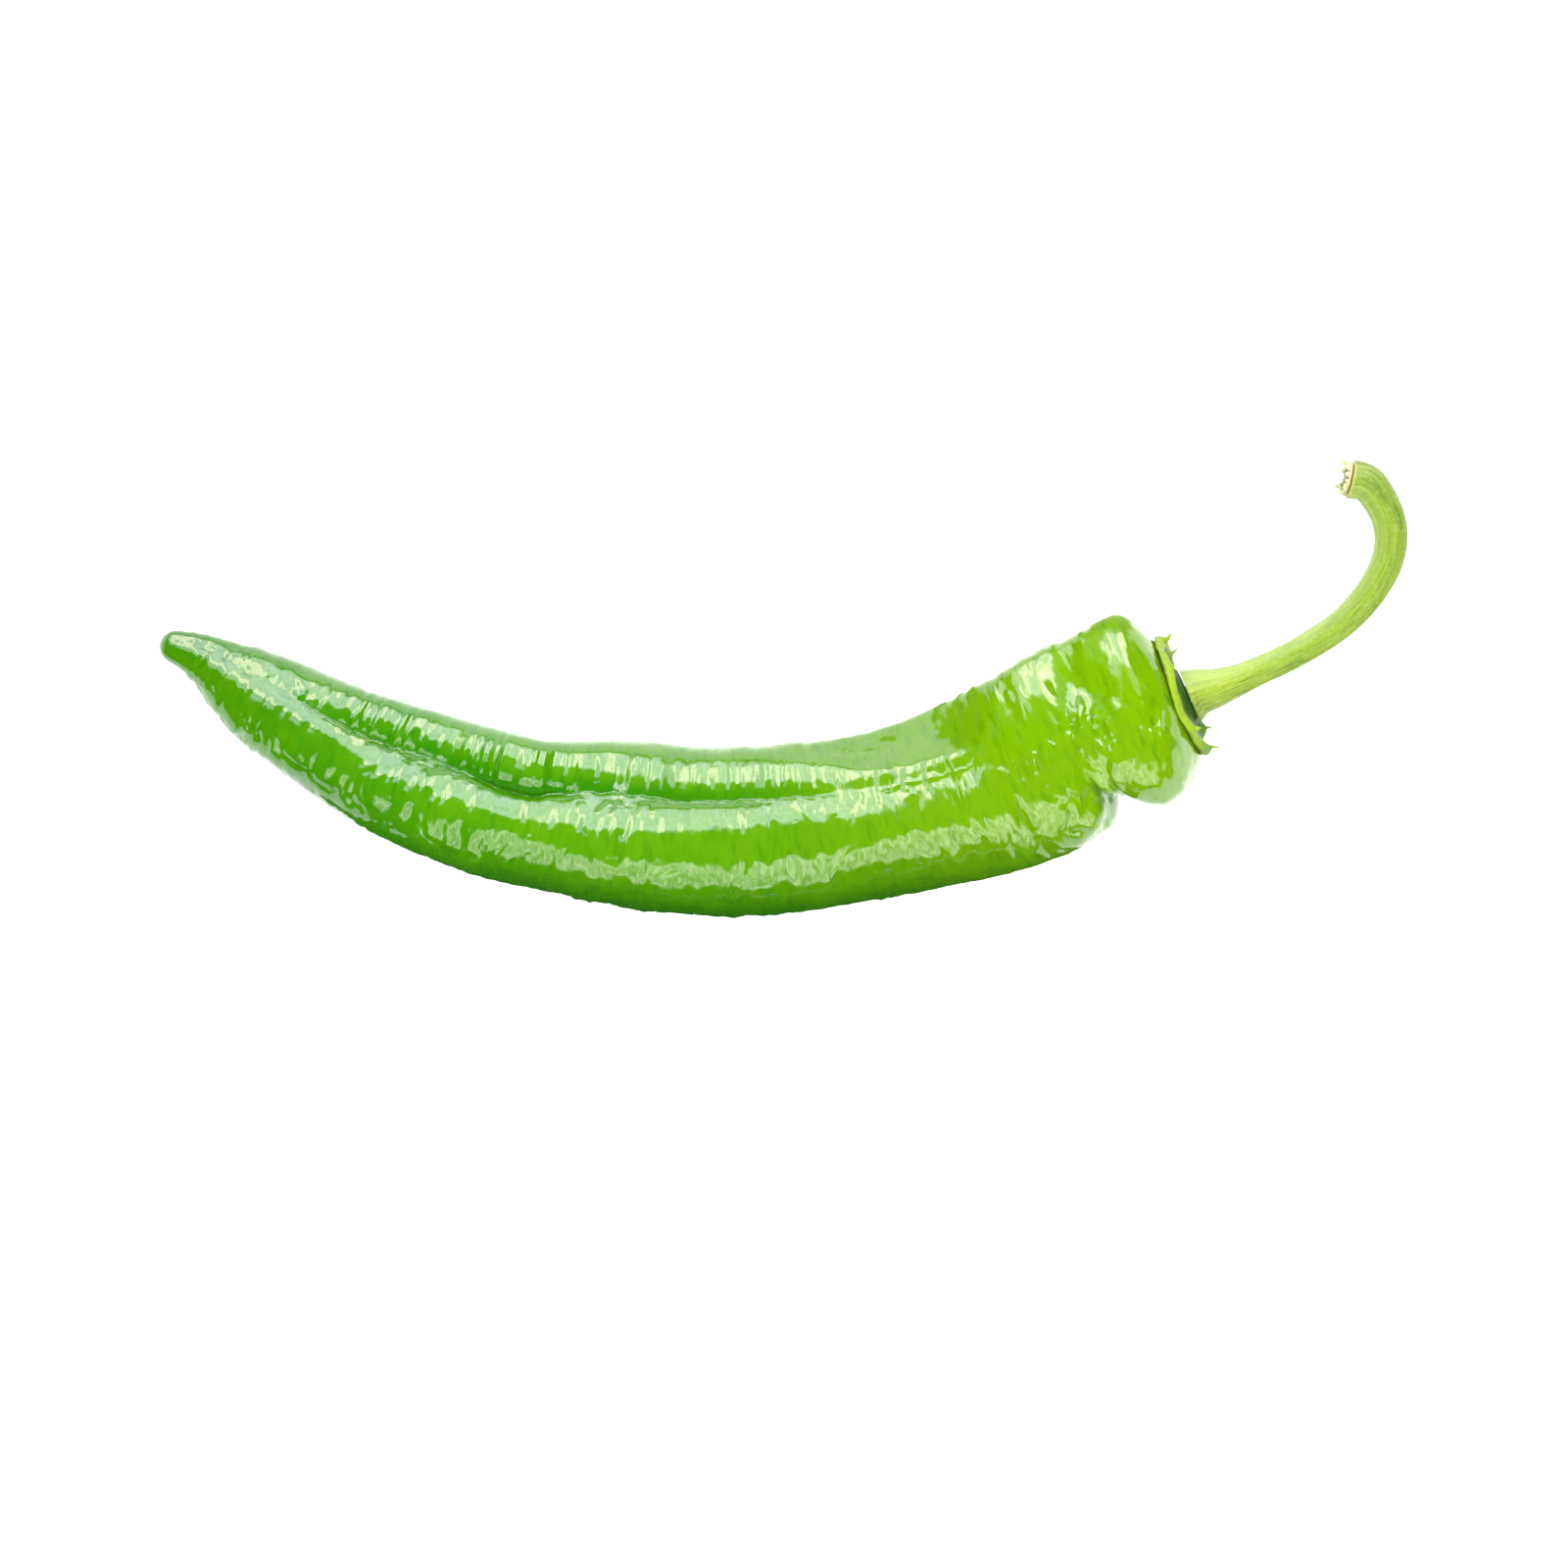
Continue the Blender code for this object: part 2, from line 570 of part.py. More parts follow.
def make_torn_end():
    """The ragged crown where the stem was pulled from the plant, hollow inside."""
    points = stem_points()
    centre, forward, side, _ = frames_along(points, np.array([line_length(points)]))
    centre, axis, side = centre[0], forward[0], side[0]
    rings = turned_rings(centre, axis, side, torn_section(TORN_SIDES), TORN_SIDES)
    floor = centre + axis * (TORN_FLOOR + TORN_DOME)
    make_object("stem_torn_end", rings, start=centre + axis * GAP, end=floor)


def main():
    for old in list(bpy.data.objects):
        bpy.data.objects.remove(old)
    make_pod()
    make_calyx()
    make_stem()
    make_torn_end()


main()
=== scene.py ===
"""The looks of a long sweet pepper: its glossy wrinkled pod, calyx, ridged stem and torn end.

The pieces follow the solid model's own lines and sections, with finer meshes and relief.
Sizes are in millimetres, and MM turns them into metres. Angles round the pod, the calyx and the
stem are in degrees: 0 faces up, 90 faces the hollow side of the pod's bend (+Y), -90 its outer
side (-Y) and 180 faces the floor.
"""

import math
from itertools import product

import bpy
import numpy as np
from mathutils import Matrix, Vector


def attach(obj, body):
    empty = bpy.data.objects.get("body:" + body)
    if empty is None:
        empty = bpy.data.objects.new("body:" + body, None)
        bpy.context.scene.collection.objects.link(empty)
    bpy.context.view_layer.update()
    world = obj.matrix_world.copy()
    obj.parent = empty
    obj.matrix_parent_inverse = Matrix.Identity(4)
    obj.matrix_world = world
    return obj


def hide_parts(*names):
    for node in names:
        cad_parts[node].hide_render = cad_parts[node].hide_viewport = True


MM = 0.001
# The gap between pieces that have grown together, and how far the pepper is moved to its place.
GAP = 0.3
PLACE = (1.0, 0.2, 0.0)
# The smallest sine or cosine that a size is divided by.
NEAR_ZERO = 0.02

# The camera looks straight down, with the top of its picture towards +Y.
CAMERA_PLACE = (1.0, -16.2, 1020.0)
CAMERA_LENS = 133.15
CAMERA_SENSOR = 36.0
CAMERA_REACH = 20000.0

# The pod's centre line, from its tip to the seat of the calyx.
POD_LINE = (
    (-108.8, 8.5, 8.2), (-101.7, 5.7, 8.2), (-95.2, 1.4, 8.6), (-74.6, -10.5, 9.9),
    (-47.6, -20.5, 11.7), (-30, -23, 12.8), (-10.2, -24.5, 14), (17, -21.6, 14),
    (40.8, -14.4, 14.4), (54.4, -7.4, 15.4), (68.4, -1.4, 16.9),
)
# Half of the pod's width across the bend, by distance from the tip.
POD_HALF_WIDTH = (
    (0, 2.2), (4, 3.4), (10, 4.9), (16, 7), (22, 8.5), (30, 9.6), (40, 10.6), (52, 11.9),
    (64, 12.7), (74, 12.9), (86, 14), (106, 14.5), (118, 14.8), (128, 14.5), (138, 14.8),
    (148, 15.7), (156, 16.4), (164, 16.5), (176, 17.1), (188, 17.1),
)
POD_THICKNESS_SHARE = 0.93
TIP_ROUNDING = 1.8
# The head's faint lobes: how many, how high as a share of the radius, and where the first is.
LOBES = 3
LOBE_SHARE = 0.03
LOBE_ANGLE = 80

# The pod's body is made of round lobes side by side, each a circle in its cross-section. The
# flank lobe makes the outer side, the ridge lobe the crest, the hollow lobe the hollow side, and
# the under lobe the side on the floor. Radii and offsets go by distance from the tip.
RIDGE_ACROSS = ((0, 0.2), (20, -0.4), (36, -0.8), (44, -2.4), (60, -2.4), (72, -3),
                (90, -3.4), (100, -2.4), (120, -1.6), (135, -2.4), (158, -2.8))
RIDGE_RADIUS = ((0, 1.6), (8, 2.4), (20, 3.9), (36, 5), (44, 6.2), (60, 6.2),
                (72, 6.2), (80, 7.4), (90, 9), (100, 9.2), (120, 9.6), (135, 9.6),
                (158, 11))
FLANK_RADIUS = ((0, 2), (8, 3.6), (20, 6.4), (40, 8.2), (60, 9.4), (93, 10.6),
                (110, 11.5), (130, 12.5), (145, 13.5))
FLANK_DROP_SHARE = 0.03
HOLLOW_RADIUS = ((0, 1.6), (8, 3), (20, 5.7), (36, 5.6), (44, 5.3), (60, 5.7),
                 (72, 5.7), (80, 6.4), (90, 7.9), (100, 8.2), (112, 8.5), (125, 9.5),
                 (145, 11))
UNDER_ACROSS_SHARE = 0.12
UNDER_RADIUS_SHARE = 0.8
# How far across the pod the crest's groove lies, where ridge lobe and hollow lobe meet.
CREST_GROOVE = ((0, 1), (10, 1.9), (20, 2.6), (36, 3.1), (44, 3.4), (52, 4.2),
                (60, 4), (67, 3.2), (72, 3.1), (77, 4.2), (83, 4.6), (100, 5),
                (110, 5.4), (120, 5), (130, 4.5), (145, 4))
LOBE_SHARPNESS = 40
# The stretch where the body's lobes turn into the head's round section.
BODY_END = (144, 160)

# Narrow grooves that deepen where the lobes meet: how deep they are and how far their sides
# reach. The first follows the crest's groove, and the others have an angle of their own.
CREST_SLOT = {
    "depth": ((0, 0), (30, 0.1), (40, 0.6), (60, 0.7), (66, 1.2), (74, 1.2), (79, 0.5),
              (100, 0.35), (115, 0.15), (125, 0), (188, 0)),
    "reach": 0.7,
}
BACK_GROOVE = {
    "angle": ((0, 150), (60, 142), (120, 138), (188, 135)),
    "depth": ((0, 0), (138, 0.2), (148, 1.2), (165, 0.3), (188, 0)),
    "reach": 3.4,
}
FRONT_GROOVE = {
    "angle": ((0, -95), (60, -108), (120, -116), (188, -120)),
    "depth": ((0, 0), (138, 0.2), (150, 1.4), (170, 0.8), (188, 0)),
    "reach": 3.5,
}
GROOVE_SOFTNESS = 0.15

# The fold that runs round the pod between its body and its head: how far it is from the calyx
# seat and how deep it is, by angle.
FOLD_FROM_SEAT = ((-180, 17), (-135, 16.6), (-90, 16.2), (-60, 18.8), (-30, 21),
                  (0, 19.4), (35, 18.6), (60, 15.8), (90, 13.8), (135, 15.8), (180, 17))
FOLD_DEPTH = ((-180, 1.8), (-135, 4.8), (-90, 8.9), (-60, 5.4), (-30, 1.8),
              (0, 0.9), (35, 0.9), (60, 0.8), (90, 0.5), (135, 0.8), (180, 1.8))
FOLD_BODY_REACH = 1.7
FOLD_HEAD_REACH = 5

# Single dents and swellings of the skin: distance from the tip, angle, reach along the pod,
# reach round it, and depth. A swelling has a negative depth. The last is the notch at the tip.
DENTS = (
    (155.5, -28, 1.1, 5, 0.9),
    (168, 42, 8, 8, -1.2),
    (172.8, 42, 3.2, 4.6, 2),
    (176, 28, 3.2, 4.5, 1.6),
    (185.2, 42, 1.3, 6, 0.6),
    (179, -62, 5, 7, -0.6),
    (162, -60, 6, 8, -0.8),
    (0.9, -95, 0.8, 0.9, 0.7),
)

# A flat facet that cuts the hollow side before the head: the angle that it faces, and how far it
# is from the centre line as a share of the half width. It cuts nothing where that is over 1.1.
FACET_ANGLE = 50
FACET_SHARE = ((0, 1.2), (100, 1.2), (112, 1.04), (122, 0.95), (130, 0.88), (139, 0.86),
               (145, 0.86), (146.5, 0.87), (148, 0.905), (153, 1.03), (159, 1.15),
               (165, 1.25), (188, 1.3))
FACET_SHARPNESS = 60
# The far end of the facet slants: it starts further from the tip towards the crest.
FACET_SLANT = 10
FACET_SLANT_FROM = 80
FACET_SLANT_SPAN = 65
FACET_SLANT_POWER = 1.6
FACET_SLANT_LIMIT = 1.5
# The head is boxy on its upper hollow side: a broad arch, whose width is this share of the pod's by
# distance, meets an upright wall at the pod's half width in an edge of this sharpness.
HEAD_ARCH_SHARE = ((150, 1.33), (170, 1.33), (180, 1.2), (188, 1.2))
HEAD_EDGE_SHARPNESS = 30

# Small relief of the skin: reach along the pod, reach round it, height and seed of each layer.
# Lumps are everywhere. Wrinkles and creases, which are thin lines, come and go in patches and are
# stronger on the flank. The warp bends them.
LUMPS = ((15, 11, 0.28, 11), (6.5, 6, 0.12, 12))
WRINKLES = ((2.6, 5, 0.12, 13), (1.2, 3.4, 0.10, 14), (0.7, 2.4, 0.05, 15))
CREASES = ((3.4, 14, 0.09, 16), (2.2, 7, 0.06, 17))
CREASE_WIDTH = 0.12
PATCH_SIZE = 11
PATCH_STRENGTH = 0.8
PATCH_SEED = 21
FLANK_WRINKLES = 0.9
FLANK_ANGLE = -45
FLANK_SPAN = 32
WARP_SIZE = 5
WARP_REACH = 1.3
WARP_SEED = 22
# Places with stronger wrinkles: distance, angle, reach along, reach round and added strength.
WRINKLED_SPOTS = (
    (168, -45, 5, 6, 4.5),
    (160, 0, 5, 2.5, 3),
    (183, -9, 3, 4, 4.5),
    (150, 5, 6, 4, 1.2),
    (98, -96, 22, 4, 1.5),
    (128, 12, 9, 4, 0.8),
    (174.5, -2, 3, 5, 3.5),
    (172.5, 16, 3, 4.5, 4.5),
)
# The relief fades over this length to this share at the tip.
RELIEF_TIP_FADE = 6
RELIEF_AT_TIP = 0.2

# Duller patches of the skin on the head: distance, place across the pod, reach along, reach
# across, how far the patch shifts along for each millimetre across, and how much duller it is.
# Their edges are ragged, and their corners are as square as this power makes them.
DULL_PATCHES = (
    (156, 8.8, 7.4, 6.6, -0.8, 0.95),
    (170.5, 8.5, 1, 7.5, 0.45, 0.9),
    (177.5, 8.5, 2.2, 7.5, 0.25, 0.9),
    (183.5, 3.5, 4.5, 5.5, 0, 0.8),
    (167, -8.5, 2.4, 4.5, 0, 0.75),
    (155.5, -6, 0.8, 5, -0.15, 0.9),
    (182.5, 15.6, 3.5, 2.1, 0, 0.85),
)
DULL_SQUARENESS = 4
DULL_EDGE = 0.12
DULL_RAGGED = 0.22
DULL_RAGGED_SIZE = (0.8, 1.6, 1.6)
DULL_SEED = 24

# Painted shade, as a deeper green of the skin: low on the outer side, and along the crest's groove, by
# distance.
SHADE_ANGLE = -96
SHADE_SPAN = 40
LOW_SIDE_SHADE = ((0, 0.5), (40, 0.7), (70, 1), (125, 1), (150, 0.5), (188, 0))
GROOVE_SHADE = ((0, 0), (30, 0.4), (60, 0.6), (110, 0.5), (128, 0), (188, 0))
GROOVE_SHADE_OFFSET = 0.8
GROOVE_SHADE_REACH = 1.8

# The ragged lip beside the crest's groove. From a start near the tip, both wobble across the pod.
LIP_HEIGHT = 0.3
LIP_OFFSET = -0.34
LIP_REACH = 0.24
LIP_SPAN = (26, 34, 118, 128)
LIP_WOBBLE = 0.22
LIP_WOBBLE_LENGTH = 0.9
LIP_WOBBLE_START = 20
LIP_SEED = 23

# The random values that lattice_noise picks from, and the primes that it picks them with.
NOISE_TABLE = 4096
NOISE_PRIMES = (73856093, 19349663, 83492791)

# The round shoulder at the calyx, on the hollow side and on the outer side of the bend.
SHOULDER_LENGTH = (5.6, 9.4)
SHOULDER_POWER = (0.5, 0.65)
# How much of the full round the shoulder turns through before the calyx covers it.
SHOULDER_TURN = 0.8
SEAT_RADIUS = 10.2
# The shoulder ends lower under the calyx's draped upper edge: how much, the angle, the span, and
# the length of pod that is drawn down with it.
SEAT_DROP = 1
SEAT_DROP_ANGLE = -15
SEAT_DROP_SPAN = 55
SEAT_DROP_LENGTH = 16

# Calyx: its section from the stem seat to the edge and back to the middle of its underside, as
# radius and height over the pod's seat, and its teeth as angle, length and share of full width.
CALYX_SECTION = ((4.5, 1.5), (5.3, 0.95), (7.2, 0.8), (8.9, 0.9), (10, 1.25), (10.6, 1.05),
                 (10.8, 0.6), (10.3, GAP), (5, GAP))
CALYX_TEETH = ((86, 1.6, 1.4), (132, 1.3, 0.8), (30, 0.4, 1.6), (-36, 0.9, 1.5),
               (-86, 1.7, 0.8), (-138, 1.3, 1), (178, 1.2, 1))
# The height over which the section counts as the calyx's upper side.
CALYX_UPPER_FROM = 0.6
# How far a tooth raises the edge and bends it outward, for each millimetre of its length, and the
# span that it has at full width.
TOOTH_RISE = 0.45
TOOTH_SPREAD = 0.3
TOOTH_SPAN = 7
# The part of the upper edge that waves and crinkles, and the lip that spreads and droops there.
CALYX_RIM_RADIUS = 10
CALYX_RIM_REACH = 1.2
CALYX_LIP_RADIUS = 10
CALYX_LIP_REACH = 0.9
CALYX_LIP_SPREAD = 0.25
CALYX_LIP_DROOP = 0.6
# The waves round the edge: in and out as the product of two waves, and up and down as one.
# Crinkles are given by fineness, height and seed.
CALYX_WAVE = 0.25
CALYX_WAVE_COUNTS = (3, 2)
CALYX_WAVE_TURN = 40
CALYX_SWAY = 0.35
CALYX_SWAY_COUNT = 4
CALYX_SWAY_TURN = -20
CALYX_CRINKLES = ((4.5, 0.3, 31), (13, 0.12, 32))
# The ribbed dish inside the edge, and the part outside it that drapes over the pod's shoulder.
CALYX_RIBS = 10
CALYX_RIB_HEIGHT = 0.12
CALYX_DISH_RADIUS = 7.4
CALYX_DISH_REACH = 2.2
DRAPE_FROM = 6.5
DRAPE_REACH = 3.5
DRAPE_POWER = 1.5
# How yellow the edge is, by angle, and the share of it that is lost under a height. Elsewhere the
# edge is as green as the skin. A brown line runs outside a radius, at a height of its own.
CALYX_EDGE_YELLOW = ((-180, 0.2), (-110, 0), (-75, 0.15), (-50, 0.8), (-20, 1), (100, 1),
                     (150, 0.4), (180, 0.2))
YELLOW_HEIGHT = 0.9
YELLOW_LOSS = 0.8
BROWN_HEIGHT = 0.55
BROWN_REACH = 0.16
BROWN_FROM_RADIUS = 10.2
# The curled horns of the teeth. Their roots are sunk into the edge, and their tips rise and lean
# outward with the length of the tooth.
HORN_RADIUS = 0.5
HORN_TIP_RADIUS = 0.04
HORN_TAPER = 0.8
HORN_SINK = 0.5
HORN_ROOT_RADIUS = 10.15
HORN_ROOT_HEIGHT = 1.35
HORN_RISE = 0.3
HORN_LEAN = 0.45
HORN_CURL = 0.35
HORN_CURL_LENGTH = 1.5
HORN_FIELDS = {"rim": 1, "yellow": 0.8, "brown": 0}

# The stem's centre line past its seat on the calyx, the length that it first runs straight out,
# how far its seat is shifted across the calyx, and its radius by distance from that seat.
STEM_STRAIGHT = 1.2
STEM_SHIFT = -0.5
STEM_LINE = (
    (74.6, 0.2, 18.2), (81.9, 3.1, 19.6), (89.4, 6.8, 21), (96.9, 12, 22.4), (101.3, 17.3, 23.5),
    (103.9, 23.3, 24.6), (103.9, 28, 25.3), (102, 32.4, 25.9), (99.6, 35.2, 26.2),
    (97, 35.8, 26.4),
)
STEM_RADIUS = ((0, 4.7), (2, 4), (5, 3.3), (8, 2.8), (12, 2.5), (18, 2.45),
               (35, 2.6), (45, 2.8), (54, 3), (60, 3.3))
STEM_RIDGES = 5
STEM_RIDGE_SHARE = 0.035
# The stem's relief is stretched along its length: how many fibres lie across its radius, and the
# length of one. Furrows and lumps are given by scale along and across, height and seed.
STEM_FIBRES = 4.2
STEM_FIBRE_LENGTH = 30
STEM_FURROWS = (((1, 1, 1), 0.07, 41), ((2, 2.4, 2.4), 0.03, 42))
STEM_FURROW_DEPTH = 0.07
STEM_LUMPS = ((9, 0.4, 0.4), 0.05, 43)

# The torn end: a ragged crown of pale tissue round a hollow. Shreds are given by angle, height
# over the crown's floor and half width in degrees.
TORN_RADIUS = 3
TORN_FLOOR = 0.6
TORN_DOME = 0.3
TORN_WALL = 0.6
TORN_FOOT = 0.45
TORN_STEP = 0.15
TORN_SHREDS = ((-78, 1.75, 13), (-45, 1.3, 12), (-12, 0.9, 14), (30, 0.8, 12),
               (76, 1.7, 15), (110, 1.1, 12), (150, 1.4, 16), (-150, 1, 14),
               (-115, 0.8, 11))
TORN_SHRED_EDGE = 1.25
TORN_LOWEST = 0.35
# The thin top of a shred, as how far its two faces lie inside the crown's outside, and the place
# between floor and top where a shred is half bent.
TORN_TOP_OUTER = 0.1
TORN_TOP_INNER = 0.22
TORN_TOP_DROP = 0.02
TORN_HALFWAY = 0.6
TORN_RAGGED = 0.35
TORN_RAGGED_FINENESS = 12
TORN_LEAN = 0.35
TORN_LEAN_FINENESS = 3
TORN_FIBRES = 16
TORN_FIBRE_RISE = 1.5
TORN_FIBRE_HEIGHT = 0.07
TORN_SEED = 7
# The row of the section where the hollow starts, and the height that counts as full.
TORN_INSIDE_FROM = 7.2
TORN_FULL_HEIGHT = 2.2

# Mesh fineness.
POD_SIDES = 216
POD_SPACING = 0.44
POD_CROWDING = 0.72
POD_SHOULDER_RINGS = 26
POD_TIP_RINGS = 8
CALYX_SIDES = 360
CALYX_RINGS = 44
HORN_SIDES = 12
HORN_RINGS = 9
STEM_SIDES = 96
STEM_RINGS = 420
TORN_SIDES = 240
TORN_RINGS = 26

# Materials. Colours along a number are stops of position and colour. A tint is mixed over them
# where a number goes from low to high: its name, low, high, strength and colour. Noise is given
# by scale, detail and roughness, and relief by strength and depth in millimetres.
# A dark green, for the painted shade and for the darker wrinkle streaks.
SHADE_AND_WRINKLE_GREEN = (0.003, 0.100, 0.0003)
SKIN_COLOURS = (
    (0.00, (0.023, 0.112, 0.0003)),
    (0.30, (0.036, 0.150, 0.0004)),
    (0.60, (0.055, 0.165, 0.0004)),
    (0.80, (0.085, 0.190, 0.0004)),
    (1.00, (0.100, 0.210, 0.0005)),
)
SKIN_TINTS = (
    ("patches", 0.4, 0.7, 0.35, (0.085, 0.21, 0.001)),
    # The deep tint is painted shade, low on the outer side and along the crest's groove.
    ("deep", 0.0, 1.0, 1.0, SHADE_AND_WRINKLE_GREEN),
    ("wrinkles", 0.5, 0.72, 0.4, SHADE_AND_WRINKLE_GREEN),
)
SKIN_PATCH_NOISE = (0.11, 2.0)
WRINKLE_STRETCH = (1.0, 0.28, 0.28)
WRINKLE_NOISE = (0.9, 3.0, 0.55)
SKIN_RELIEF = (1.0, 0.05)
SKIN_FINISH = {"Roughness": 0.38, "Specular IOR Level": 0.0, "Coat Roughness": 0.1,
               "Subsurface Weight": 0.25, "Subsurface Radius": (0.6, 1.0, 0.2), "Subsurface Scale": 0.002}
CALYX_EDGE_COLOUR = (0.045, 0.14, 0.001)
CALYX_EDGE_TINTS = (
    ("yellow", 0.0, 1.0, 1.0, (0.17, 0.26, 0.006)),
    ("speckle", 0.5, 0.75, 0.3, (0.20, 0.28, 0.05)),
)
CALYX_EDGE_RANGE = (0.1, 0.6)
# The dish's colour is the calyx's green darkened with painted shade, for the hollow round the stem's base.
CALYX_DISH_SHADE_COLOUR = (0.012, 0.05, 0.002)
CALYX_TINTS = (("brown", 0.3, 0.9, 0.6, (0.12, 0.075, 0.006)),)
CALYX_SPECKLE_NOISE = (900.0, 3.0)
CALYX_RELIEF = (0.6, 0.08)
CALYX_FINISH = {"Roughness": 0.5, "Specular IOR Level": 0.15,
                "Subsurface Weight": 0.2, "Subsurface Radius": (0.8, 1.0, 0.3), "Subsurface Scale": 0.001}
STEM_COLOURS = (
    (0.00, (0.17, 0.235, 0.02)),
    (0.12, (0.16, 0.225, 0.008)),
    (0.30, (0.135, 0.21, 0.009)),
    (0.70, (0.13, 0.20, 0.010)),
    (1.00, (0.12, 0.19, 0.012)),
)
STEM_TINTS = (
    # The around tint is a painted sheen: paler green on the inside of the stem's bend.
    ("around", 0.25, 0.95, 0.6, (0.27, 0.37, 0.10)),
    ("dark lines", 0.0, 1.0, 1.0, (0.025, 0.075, 0.003)),
    ("lines", 0.45, 0.3, 0.5, (0.24, 0.31, 0.04)),
    # The tint in the furrows is painted shade: darker green where the stem's surface dips.
    ("furrow_shade", 0.2, 0.9, 0.5, (0.06, 0.13, 0.01)),
    ("speckle", 0.5, 0.8, 0.3, (0.3, 0.36, 0.12)),
    ("along", 0.992, 0.998, 1.0, (0.27, 0.25, 0.06)),
)
# Where the stem's dark lines are, by the lines' noise, and how strong on which side of the stem.
DARK_LINE_RANGE = (0.5, 0.62, 0.0, 0.9)
DARK_SIDE_RANGE = (0.4, -0.5, 0.3, 1.0)
STEM_LINE_NOISE = (8.0, 5.0, 0.7)
STEM_SPECKLE_NOISE = (1200.0, 2.0)
STEM_RELIEF = (0.7, 0.1)
STEM_FINISH = {"Roughness": 0.42, "Specular IOR Level": 0.3,
               "Subsurface Weight": 0.25, "Subsurface Radius": (0.8, 1.0, 0.3), "Subsurface Scale": 0.0015}
TORN_COLOURS = (
    (0.00, (0.25, 0.21, 0.05)),
    (0.12, (0.33, 0.32, 0.15)),
    (0.40, (0.40, 0.41, 0.23)),
    (1.00, (0.28, 0.36, 0.10)),
)
TORN_TINTS = (
    ("fibres", 0.5, 0.75, 0.6, (0.14, 0.15, 0.05)),
    # The inside tint is painted shade in the hollow.
    ("inside", 0.0, 1.0, 0.75, (0.08, 0.09, 0.02)),
)
TORN_FIBRE_NOISE = (1500.0, 4.0, 0.6)
TORN_RELIEF = (0.9, 0.15)
TORN_FINISH = {"Roughness": 0.8}

# Far rectangles in the sky: the stretch that each fills, in degrees from straight up, along the
# pepper (+X) and across it (+Y), with its radiance and colour. One lamp makes the even light on
# every surface. The glowing panels are only mirrored in the skin, and have soft edges and a
# pattern: how many patches it has along and across, and how much darker it makes the panel.
LIGHT_DISTANCE = 1500.0
MINT = (0.84, 0.80, 1.0)
CREAM = (1.0, 0.84, 0.84)
PALE = (1.0, 0.92, 0.82)
LAMP = {"along": (-45.0, 45.0), "across": (-42.0, 48.0), "radiance": 5.5, "colour": (1.0, 1.0, 1.0)}
PANELS = {
    "window": {"along": (-24.0, 29.0), "across": (26.0, 86.0), "radiance": 10.5, "colour": MINT,
               "pattern": (5.0, 5.0), "contrast": 0.35},
    "near_panel": {"along": (-37.0, -23.0), "across": (26.0, 78.0), "radiance": 17.5, "colour": CREAM,
                   "pattern": (3.0, 6.0), "contrast": 0.3},
    "far_window": {"along": (-56.0, -36.0), "across": (14.0, 86.0), "radiance": 7.0, "colour": MINT,
                   "pattern": (4.0, 5.0), "contrast": 0.35},
    "tip_panel": {"along": (27.0, 56.0), "across": (26.0, 82.0), "radiance": 19.0, "colour": CREAM,
                  "pattern": (4.0, 6.0), "contrast": 0.5},
    "outer_panel": {"along": (-34.0, 58.0), "across": (-76.0, -28.0), "radiance": 8.5, "colour": PALE,
                    "pattern": (14.0, 1.5), "contrast": 0.85},
}
PANEL_SOFT = 0.12
PANEL_NOISE = (1.0, 2.0)
PANEL_PATCHES = (0.38, 0.62)
WORLD_STRENGTH = 0.02
BACKGROUND_STRENGTH = 1.0
FLOOR_SIZE = 3000.0
FLOOR_DEPTH = 0.1
FLOOR_FINISH = {"Base Color": (0.6, 0.6, 0.6, 1.0), "Roughness": 1.0, "Specular IOR Level": 0.0,
                "Emission Color": (1.0, 1.0, 1.0, 1.0), "Emission Strength": 0.85}

# A low dark card, seen only in reflections, that keeps the outer side's lower edge dark: its
# span along the table, its profile as across and height, and its finish.
CARD_ALONG = (-92.0, 56.0)
CARD_PROFILE = ((-30.0, -0.05), (-90.0, -0.05), (-90.0, 22.0), (-60.0, 22.0), (-52.0, 3.0), (-40.0, 0.3))
CARD_FINISH = {"Base Color": (0.02, 0.07, 0.004, 1.0), "Roughness": 1.0}


def smooth_through(stations, at):
    """The smooth curve through the stations, each a position and its value or point, read at."""
    knots = np.array([station[0] for station in stations], float)
    values = np.array([station[1] for station in stations], float)
    slopes = np.gradient(values, knots, axis=0)
    at = np.clip(np.asarray(at, float), knots[0], knots[-1])
    left = np.clip(np.searchsorted(knots, at) - 1, 0, len(knots) - 2)
    step = knots[left + 1] - knots[left]
    t = (at - knots[left]) / step
    if values.ndim > 1:
        t, step = t[..., None], step[..., None]
    start = (2 * t**3 - 3 * t**2 + 1) * values[left] + (t**3 - 2 * t**2 + t) * step * slopes[left]
    end = (3 * t**2 - 2 * t**3) * values[left + 1] + (t**3 - t**2) * step * slopes[left + 1]
    return start + end


def by_distance(points):
    """The points of a line as stations, each with its distance from the first."""
    points = np.array(points, float)
    lengths = np.linalg.norm(np.diff(points, axis=0), axis=1)
    return list(zip(np.concatenate([[0.0], np.cumsum(lengths)]), points))


def line_length(points):
    return by_distance(points)[-1][0]


def unit(vectors):
    return vectors / np.linalg.norm(vectors, axis=-1, keepdims=True)


def frames_along(points, distances):
    """Centre, forward, side and up of a line at these distances. Side stays level."""
    line = by_distance(points)
    reach = 0.05
    centre = smooth_through(line, distances)
    ahead = smooth_through(line, distances + reach)
    behind = smooth_through(line, distances - reach)
    forward = unit(ahead - behind)
    side = unit(np.cross([0.0, 0.0, 1.0], forward))
    return centre, forward, side, np.cross(forward, side)


def wrapped(degrees):
    """The angle brought between -180 and 180 degrees."""
    return (degrees + 180.0) % 360.0 - 180.0


def bump(value):
    """A soft hill: 1 at 0, falling away on both sides."""
    return np.exp(-(value**2))


